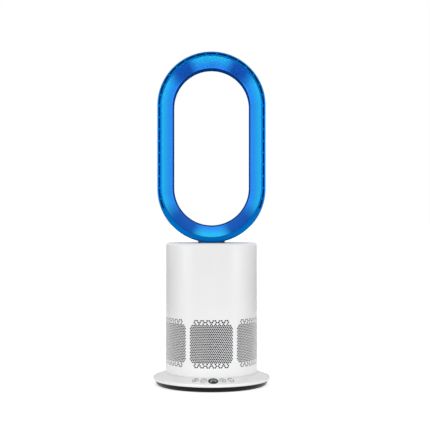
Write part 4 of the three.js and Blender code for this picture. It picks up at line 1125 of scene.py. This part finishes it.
@dataclass
class Loop:
    """The racetrack loop: rear shell, inner shell with the cone, slotted front rim, and the neck collar."""

    radius: float = 99.2
    edge_radius: float = 91.3
    upper: float = 513.0
    lower: float = 363.5
    extra: float = 2.0  # how much taller the band is at the bottom
    front: float = -28.0
    back: float = 28.0
    rim_depth: float = 6.0
    bend: float = 12.0  # of the rounded back
    wall: float = 2.2
    slot: tuple[float, float] = (94.1, 96.3)
    slot_bridge: float = 3.0
    slot_turn: float = 12.0
    upper_slots: int = 15
    lower_slots: int = 2
    straight_slots: int = 7
    neck: float = 22.3
    turn: np.ndarray = field(init=False)
    share: np.ndarray = field(init=False)
    open: np.ndarray = field(init=False)

    def __post_init__(self) -> None:
        """Lays out the stations round the racetrack."""
        self.turn, self.share, self.open = self.stations()

    def build(self) -> None:
        """Makes all the pieces of the loop."""
        self.rim()
        self.inner_shell()
        self.rear_shell()
        self.collar()

    def stations(self) -> tuple[np.ndarray, np.ndarray, np.ndarray]:
        """Stations round the racetrack.

        Returns:
            The angle from the top in radians, how far up between the two centres it lies, and whether the
            stretch after it lies in a slot.
        """
        middle = sum(self.slot) / 2
        bridge = math.degrees(self.slot_bridge / 2 / middle)
        half = self.slot_turn / 2
        cell = np.array([-half, *np.linspace(-half + bridge, half - bridge, 5)])
        cell_open = [False, True, True, True, True, False]
        low = float(self.lower_centre(np.array(middle)))
        gap = self.slot_bridge / 2 / (self.upper - low)
        turn, share, opened = [], [], []

        def arc(centres: np.ndarray, level: float) -> None:
            """Adds the stations of slots centred at these angles."""
            for centre in centres:
                turn.extend(centre + cell)
                share.extend([level] * len(cell))
                opened.extend(cell_open)

        def straight(angle: float, start: float, end: float) -> None:
            """Adds the stations of a straight side between two shares."""
            edges = np.linspace(start, end, self.straight_slots + 1)
            step = math.copysign(gap, end - start)
            for first, last in zip(edges, edges[1:]):
                turn.extend([angle] * 3)
                share.extend([first, first + step, last - step])
                opened.extend([False, True, False])

        arc((np.arange(self.upper_slots) - (self.upper_slots - 1) / 2) * self.slot_turn, 1.0)
        straight(90, 1.0, 0.0)
        drop = (np.arange(self.lower_slots) + 0.5) * self.slot_turn
        arc(90 + drop, 0.0)
        slotted = self.lower_slots * self.slot_turn
        plain = np.linspace(90 + slotted, 270 - slotted, 44, endpoint=False)
        turn.extend(plain)
        share.extend([0.0] * len(plain))
        opened.extend([False] * len(plain))
        arc(270 - drop[::-1], 0.0)
        straight(270, 0.0, 1.0)
        return np.radians(turn), np.array(share), np.array(opened)

    def lower_centre(self, radius: np.ndarray) -> np.ndarray:
        """Height of the lower centre for a line at a radius: the band is taller at the bottom.

        Args:
            radius: the radii.

        Returns:
            The heights.
        """
        width = self.radius - self.edge_radius
        return self.lower - self.extra * np.clip((radius - self.edge_radius) / width, 0, 1)

    def track(self, profile: np.ndarray) -> np.ndarray:
        """Carries a profile of (radius, y) round the racetrack, one row per point of the profile.

        Args:
            profile: its points.

        Returns:
            The points, of shape (profile, stations, 3).
        """
        radius, y = profile[:, :1], profile[:, 1:]
        low = self.lower_centre(radius)
        centre = low + (self.upper - low) * self.share
        x, up = radius * np.sin(self.turn), radius * np.cos(self.turn)
        return np.stack([x, y + 0 * self.turn, centre + up], -1)

    def rim(self) -> None:
        """The front rim with its outlet slots cut right through."""
        inside, outside = self.slot
        plate, back = self.front + 2, self.front + self.rim_depth
        low, high, wall = self.edge_radius, self.radius, 1.8
        profile = eased([
            (inside, self.front), (outside, self.front), (high, self.front, 2.6), (high, back, 0.3),
            (high - wall, back), (high - wall, plate), (outside, plate), (inside, plate),
            (low + wall, plate), (low + wall, back), (low, back), (low, self.front, 0.9),
        ], 7)
        rows = self.track(profile)
        front = 0
        rear = next(i for i in range(2, len(profile)) if np.allclose(profile[i], (outside, plate)))
        skip = np.zeros(rows.shape[:2], bool)
        skip[front, self.open] = skip[rear, self.open] = True
        solid = Solid().grid(rows, skip=skip)
        after = np.roll(np.arange(len(self.turn)), -1)
        for near, far in ((front, rear + 1), (front + 1, rear)):
            solid.cells(np.stack([rows[near], rows[near, after], rows[far, after], rows[far]], 1)[self.open])
        ends = np.flatnonzero(self.open != np.roll(self.open, 1))
        solid.cells(rows[[front, front + 1, rear, rear + 1]][:, ends].swapaxes(0, 1))
        dress(solid.build("loop_rim"), BAND, "tower", "loop_front_rim")

    def inner_shell(self) -> None:
        """The inner shell: the bright cone and the throat behind it."""
        profile = eased([
            (91.0, -26.5, 0.4), (91.0, -24.3), (74.2, -0.9), (72.6, self.back), (69.9, self.back, 0.8),
            (72.0, -2.0, 2.2),
        ], 8)
        dress(Solid().grid(self.track(profile)).build("loop_cone"), CONE, "tower", "loop_inner_shell")

    def rear_shell(self) -> None:
        """The rear shell with its rounded back, open round the neck."""
        arc = np.linspace(0, np.pi / 2, 13)
        turned = np.stack([np.cos(arc), np.sin(arc)], -1)
        centre = np.array([self.radius - self.bend, self.back - self.bend])
        outer, inner = centre + self.bend * turned, centre + (self.bend - self.wall) * turned[::-1]
        front = self.front + self.rim_depth + GAP
        profile = np.concatenate([
            [[self.radius - self.wall, front], [self.radius - 0.3, front], [self.radius, front + 0.3]], outer,
            [[73.3, self.back], [72.9, self.back - 0.4], [72.9, self.back - self.wall]], inner,
        ])
        obj = Solid().grid(self.track(profile)).build("loop_shell")
        dress(carve(obj, Solid().prism(circle(self.neck, 64), 240, 280)), SHELL, "tower", "loop_rear_shell")

    def collar(self) -> None:
        """The dark collar whose top follows the underside of the loop."""
        plan = circle(1.0, 128)

        def top(radius: float) -> np.ndarray:
            """Height of the loop's underside, less the gap, at a radius."""
            x, y = radius * plan.T
            back = np.clip(y - (self.back - self.bend), 0, self.bend - 0.1)
            size = self.radius - self.bend + np.sqrt(self.bend**2 - back**2)
            return self.lower - self.extra - np.sqrt((size + GAP) ** 2 - x**2)

        inner, outer, bottom = self.neck, 25.0, np.full(len(plan), 256.6)
        edges = ((inner, bottom), (outer, bottom), (outer, top(outer)), (inner, top(inner)))
        rows = np.stack([np.column_stack([radius * plan, height]) for radius, height in edges])
        dress(Solid().grid(rows).build("neck_ring"), NAVY, "tower", "neck_collar")


# ---------------------------------------------------------------- works


@dataclass(frozen=True)
class Works:
    """The CAD nodes that are shown as they are: the inner works, screws and boards."""

    nodes: dict[str, bpy.types.Object]

    FINISHES: ClassVar = {
        "display_module": DARK, "control_board": BOARD, "power_board": BOARD, "fixed_gear": NYLON,
        "slide_ring": NYLON, "turntable_plate": GREY, "hub_retainer": STEEL, "oscillation_motor": STEEL,
        "dust_screen": SCREEN, "impeller_housing": GREY, "diffuser": GREY, "motor_end_cap": GREY,
        "motor_stator": COPPER, "upper_bearing": STEEL, "lower_bearing": STEEL, "air_duct": GREY,
        "neck_gasket": RUBBER, "loop_neck": NAVY, "drive_pinion": NYLON, "output_shaft": STEEL,
        "impeller": DARK, "impeller_nut": STEEL, "motor_shaft": STEEL, "motor_rotor": STEEL,
        **{f"key_switch_{number}": DARK for number in range(1, 5)},
        **{f"base_screw_{number}": STEEL for number in range(1, 5)},
        **{f"retainer_screw_{number}": STEEL for number in range(1, 4)},
    }

    def build(self) -> None:
        """Gives each node its procedural finish."""
        for name, finish in self.FINISHES.items():
            materials = self.nodes[name].data.materials
            materials.clear()
            materials.append(finish.material())
            log.info("%s: as in the frame, %s", name, finish.name)


# ---------------------------------------------------------------- studio


@dataclass(frozen=True)
class Studio:
    """Camera, lamps, cards, world and floor."""

    level: float = 0.91  # the world's light, where white is 1
    distance: float = 1.993
    eye: tuple[float, float] = (0.0065, 0.313)

    def build(self) -> None:
        """Makes the whole studio."""
        bpy.context.scene.view_settings.view_transform = "Standard"
        self.camera()
        self.world()
        self.floor()
        paint = Paint("studio_card")
        black = paint.surface(paint.node("ShaderNodeBsdfDiffuse", inputs={"Color": (0.01, 0.01, 0.01)}))
        for name, side in (("left", -1), ("right", 1)):
            self.lamp(f"lamp_{name}", (1.85 * side, -0.95, 0.5), 0.9, 0.9, 9.5)
            self.card(f"card_{name}", 0.26 * side, black)
        self.lamp("lamp_low", (0, -0.22, 0.012), 0.26, 0.02, 0.05, (0, -0.0845, 0.04))
        self.accent()

    @staticmethod
    def add(name: str, data: bpy.types.ID, place: Sequence[float] = (0, 0, 0)) -> bpy.types.Object:
        """Puts a camera, a light or a mesh into the scene.

        Args:
            name: the object's name.
            data: its data.
            place: its place in metres.

        Returns:
            The object.
        """
        obj = bpy.data.objects.new(name, data)
        obj.location = place
        bpy.context.scene.collection.objects.link(obj)
        return obj

    @staticmethod
    def aim(obj: bpy.types.Object, target: Sequence[float]) -> None:
        """Turns a lamp towards a point."""
        obj.rotation_euler = (Vector(target) - obj.location).to_track_quat("-Z", "Y").to_euler()

    def camera(self) -> None:
        """A long lens level with the lower part of the loop."""
        data = bpy.data.cameras.new("camera")
        data.lens, data.sensor_width, data.clip_end = 90.0, 36.0, 60.0
        camera = self.add("camera", data, (self.eye[0], -self.distance, self.eye[1]))
        camera.rotation_euler = (math.pi / 2, 0, 0)
        bpy.context.scene.camera = camera

    def lamp(self, name: str, place: Point, width: float, height: float, power: float,
             target: Point = (0.0, 0.0, 0.3)) -> None:
        """A soft light that faces a point of the fan.

        Args:
            name: its name.
            place: its place in metres.
            width: its width in metres.
            height: its height in metres.
            power: its power in watts.
            target: the point that it faces.
        """
        data = bpy.data.lights.new(name, "AREA")
        data.shape, data.size, data.size_y, data.energy = "RECTANGLE", width, height, power
        lamp = self.add(name, data, place)
        self.aim(lamp, target)
        lamp.visible_camera = False

    def accent(self) -> None:
        """A narrow light from low in front on the top of the loop."""
        data = bpy.data.lights.new("accent", "SPOT")
        data.energy, data.spot_size, data.spot_blend, data.shadow_soft_size = 80.0, math.radians(7), 1.0, 0.2
        self.aim(self.add("accent", data, (0, -1.5, 0.05)), (0, -0.02, 0.6))

    def sheet(self, name: str, corners: Sequence[Point], material: bpy.types.Material) -> bpy.types.Object:
        """A flat sheet with four corners.

        Args:
            name: its name.
            corners: the corners in metres.
            material: its material.

        Returns:
            The object.
        """
        mesh = bpy.data.meshes.new(name)
        mesh.from_pydata(corners, [], [(0, 1, 2, 3)])
        mesh.materials.append(material)
        return self.add(name, mesh)

    def card(self, name: str, x: float, material: bpy.types.Material) -> None:
        """A card that stands beside the tower, out of the camera's sight, and darkens its sides.

        Args:
            name: its name.
            x: its distance from the axis, in metres.
            material: its material.
        """
        corners = [(x, -0.05, 0.1), (x, 0.35, 0.1), (x, 0.35, 0.27), (x, -0.05, 0.27)]
        card = self.sheet(name, corners, material)
        card.visible_camera = False

    def world(self) -> None:
        """White to the eye and to mirrors, and a plain level of light for the rest."""
        world = bpy.data.worlds.new("studio")
        world.use_nodes = True
        tree = Tree(world.node_tree)
        strength = tree.seen() * (1 - self.level) + self.level
        light = tree.node("ShaderNodeBackground", inputs={"Color": (1.0, 1.0, 1.0), "Strength": strength})
        tree.node("ShaderNodeOutputWorld", inputs={"Surface": light}, output=None)
        bpy.context.scene.world = world

    def floor(self, side: float = 30.0) -> None:
        """A white floor that keeps the fan's shadow."""
        paint = Paint("studio_floor")
        diffuse = paint.node("ShaderNodeBsdfDiffuse", inputs={"Color": (0.8, 0.8, 0.8)})
        white = {"Color": (1.0, 1.0, 1.0), "Strength": paint.seen() * 0.6}
        glow = paint.node("ShaderNodeEmission", inputs=white)
        material = paint.surface(paint.node("ShaderNodeAddShader", inputs={0: diffuse, 1: glow}))
        corners = [(-side, -side, 0), (side, -side, 0), (side, side, 0), (-side, side, 0)]
        floor = self.sheet("studio_floor", corners, material)


def plain(bounds: Sequence[Vector]) -> list[list[float]]:
    """Bounds as plain lists."""
    return [[float(value) for value in corner] for corner in bounds]


def main() -> None:
    """Builds the looks."""
    logging.basicConfig(level=logging.INFO)
    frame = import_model()
    Base().build()
    Tower().build()
    Loop().build()
    Works(frame["nodes"]).build()
    Studio().build()


if __name__ == "__main__":
    main()
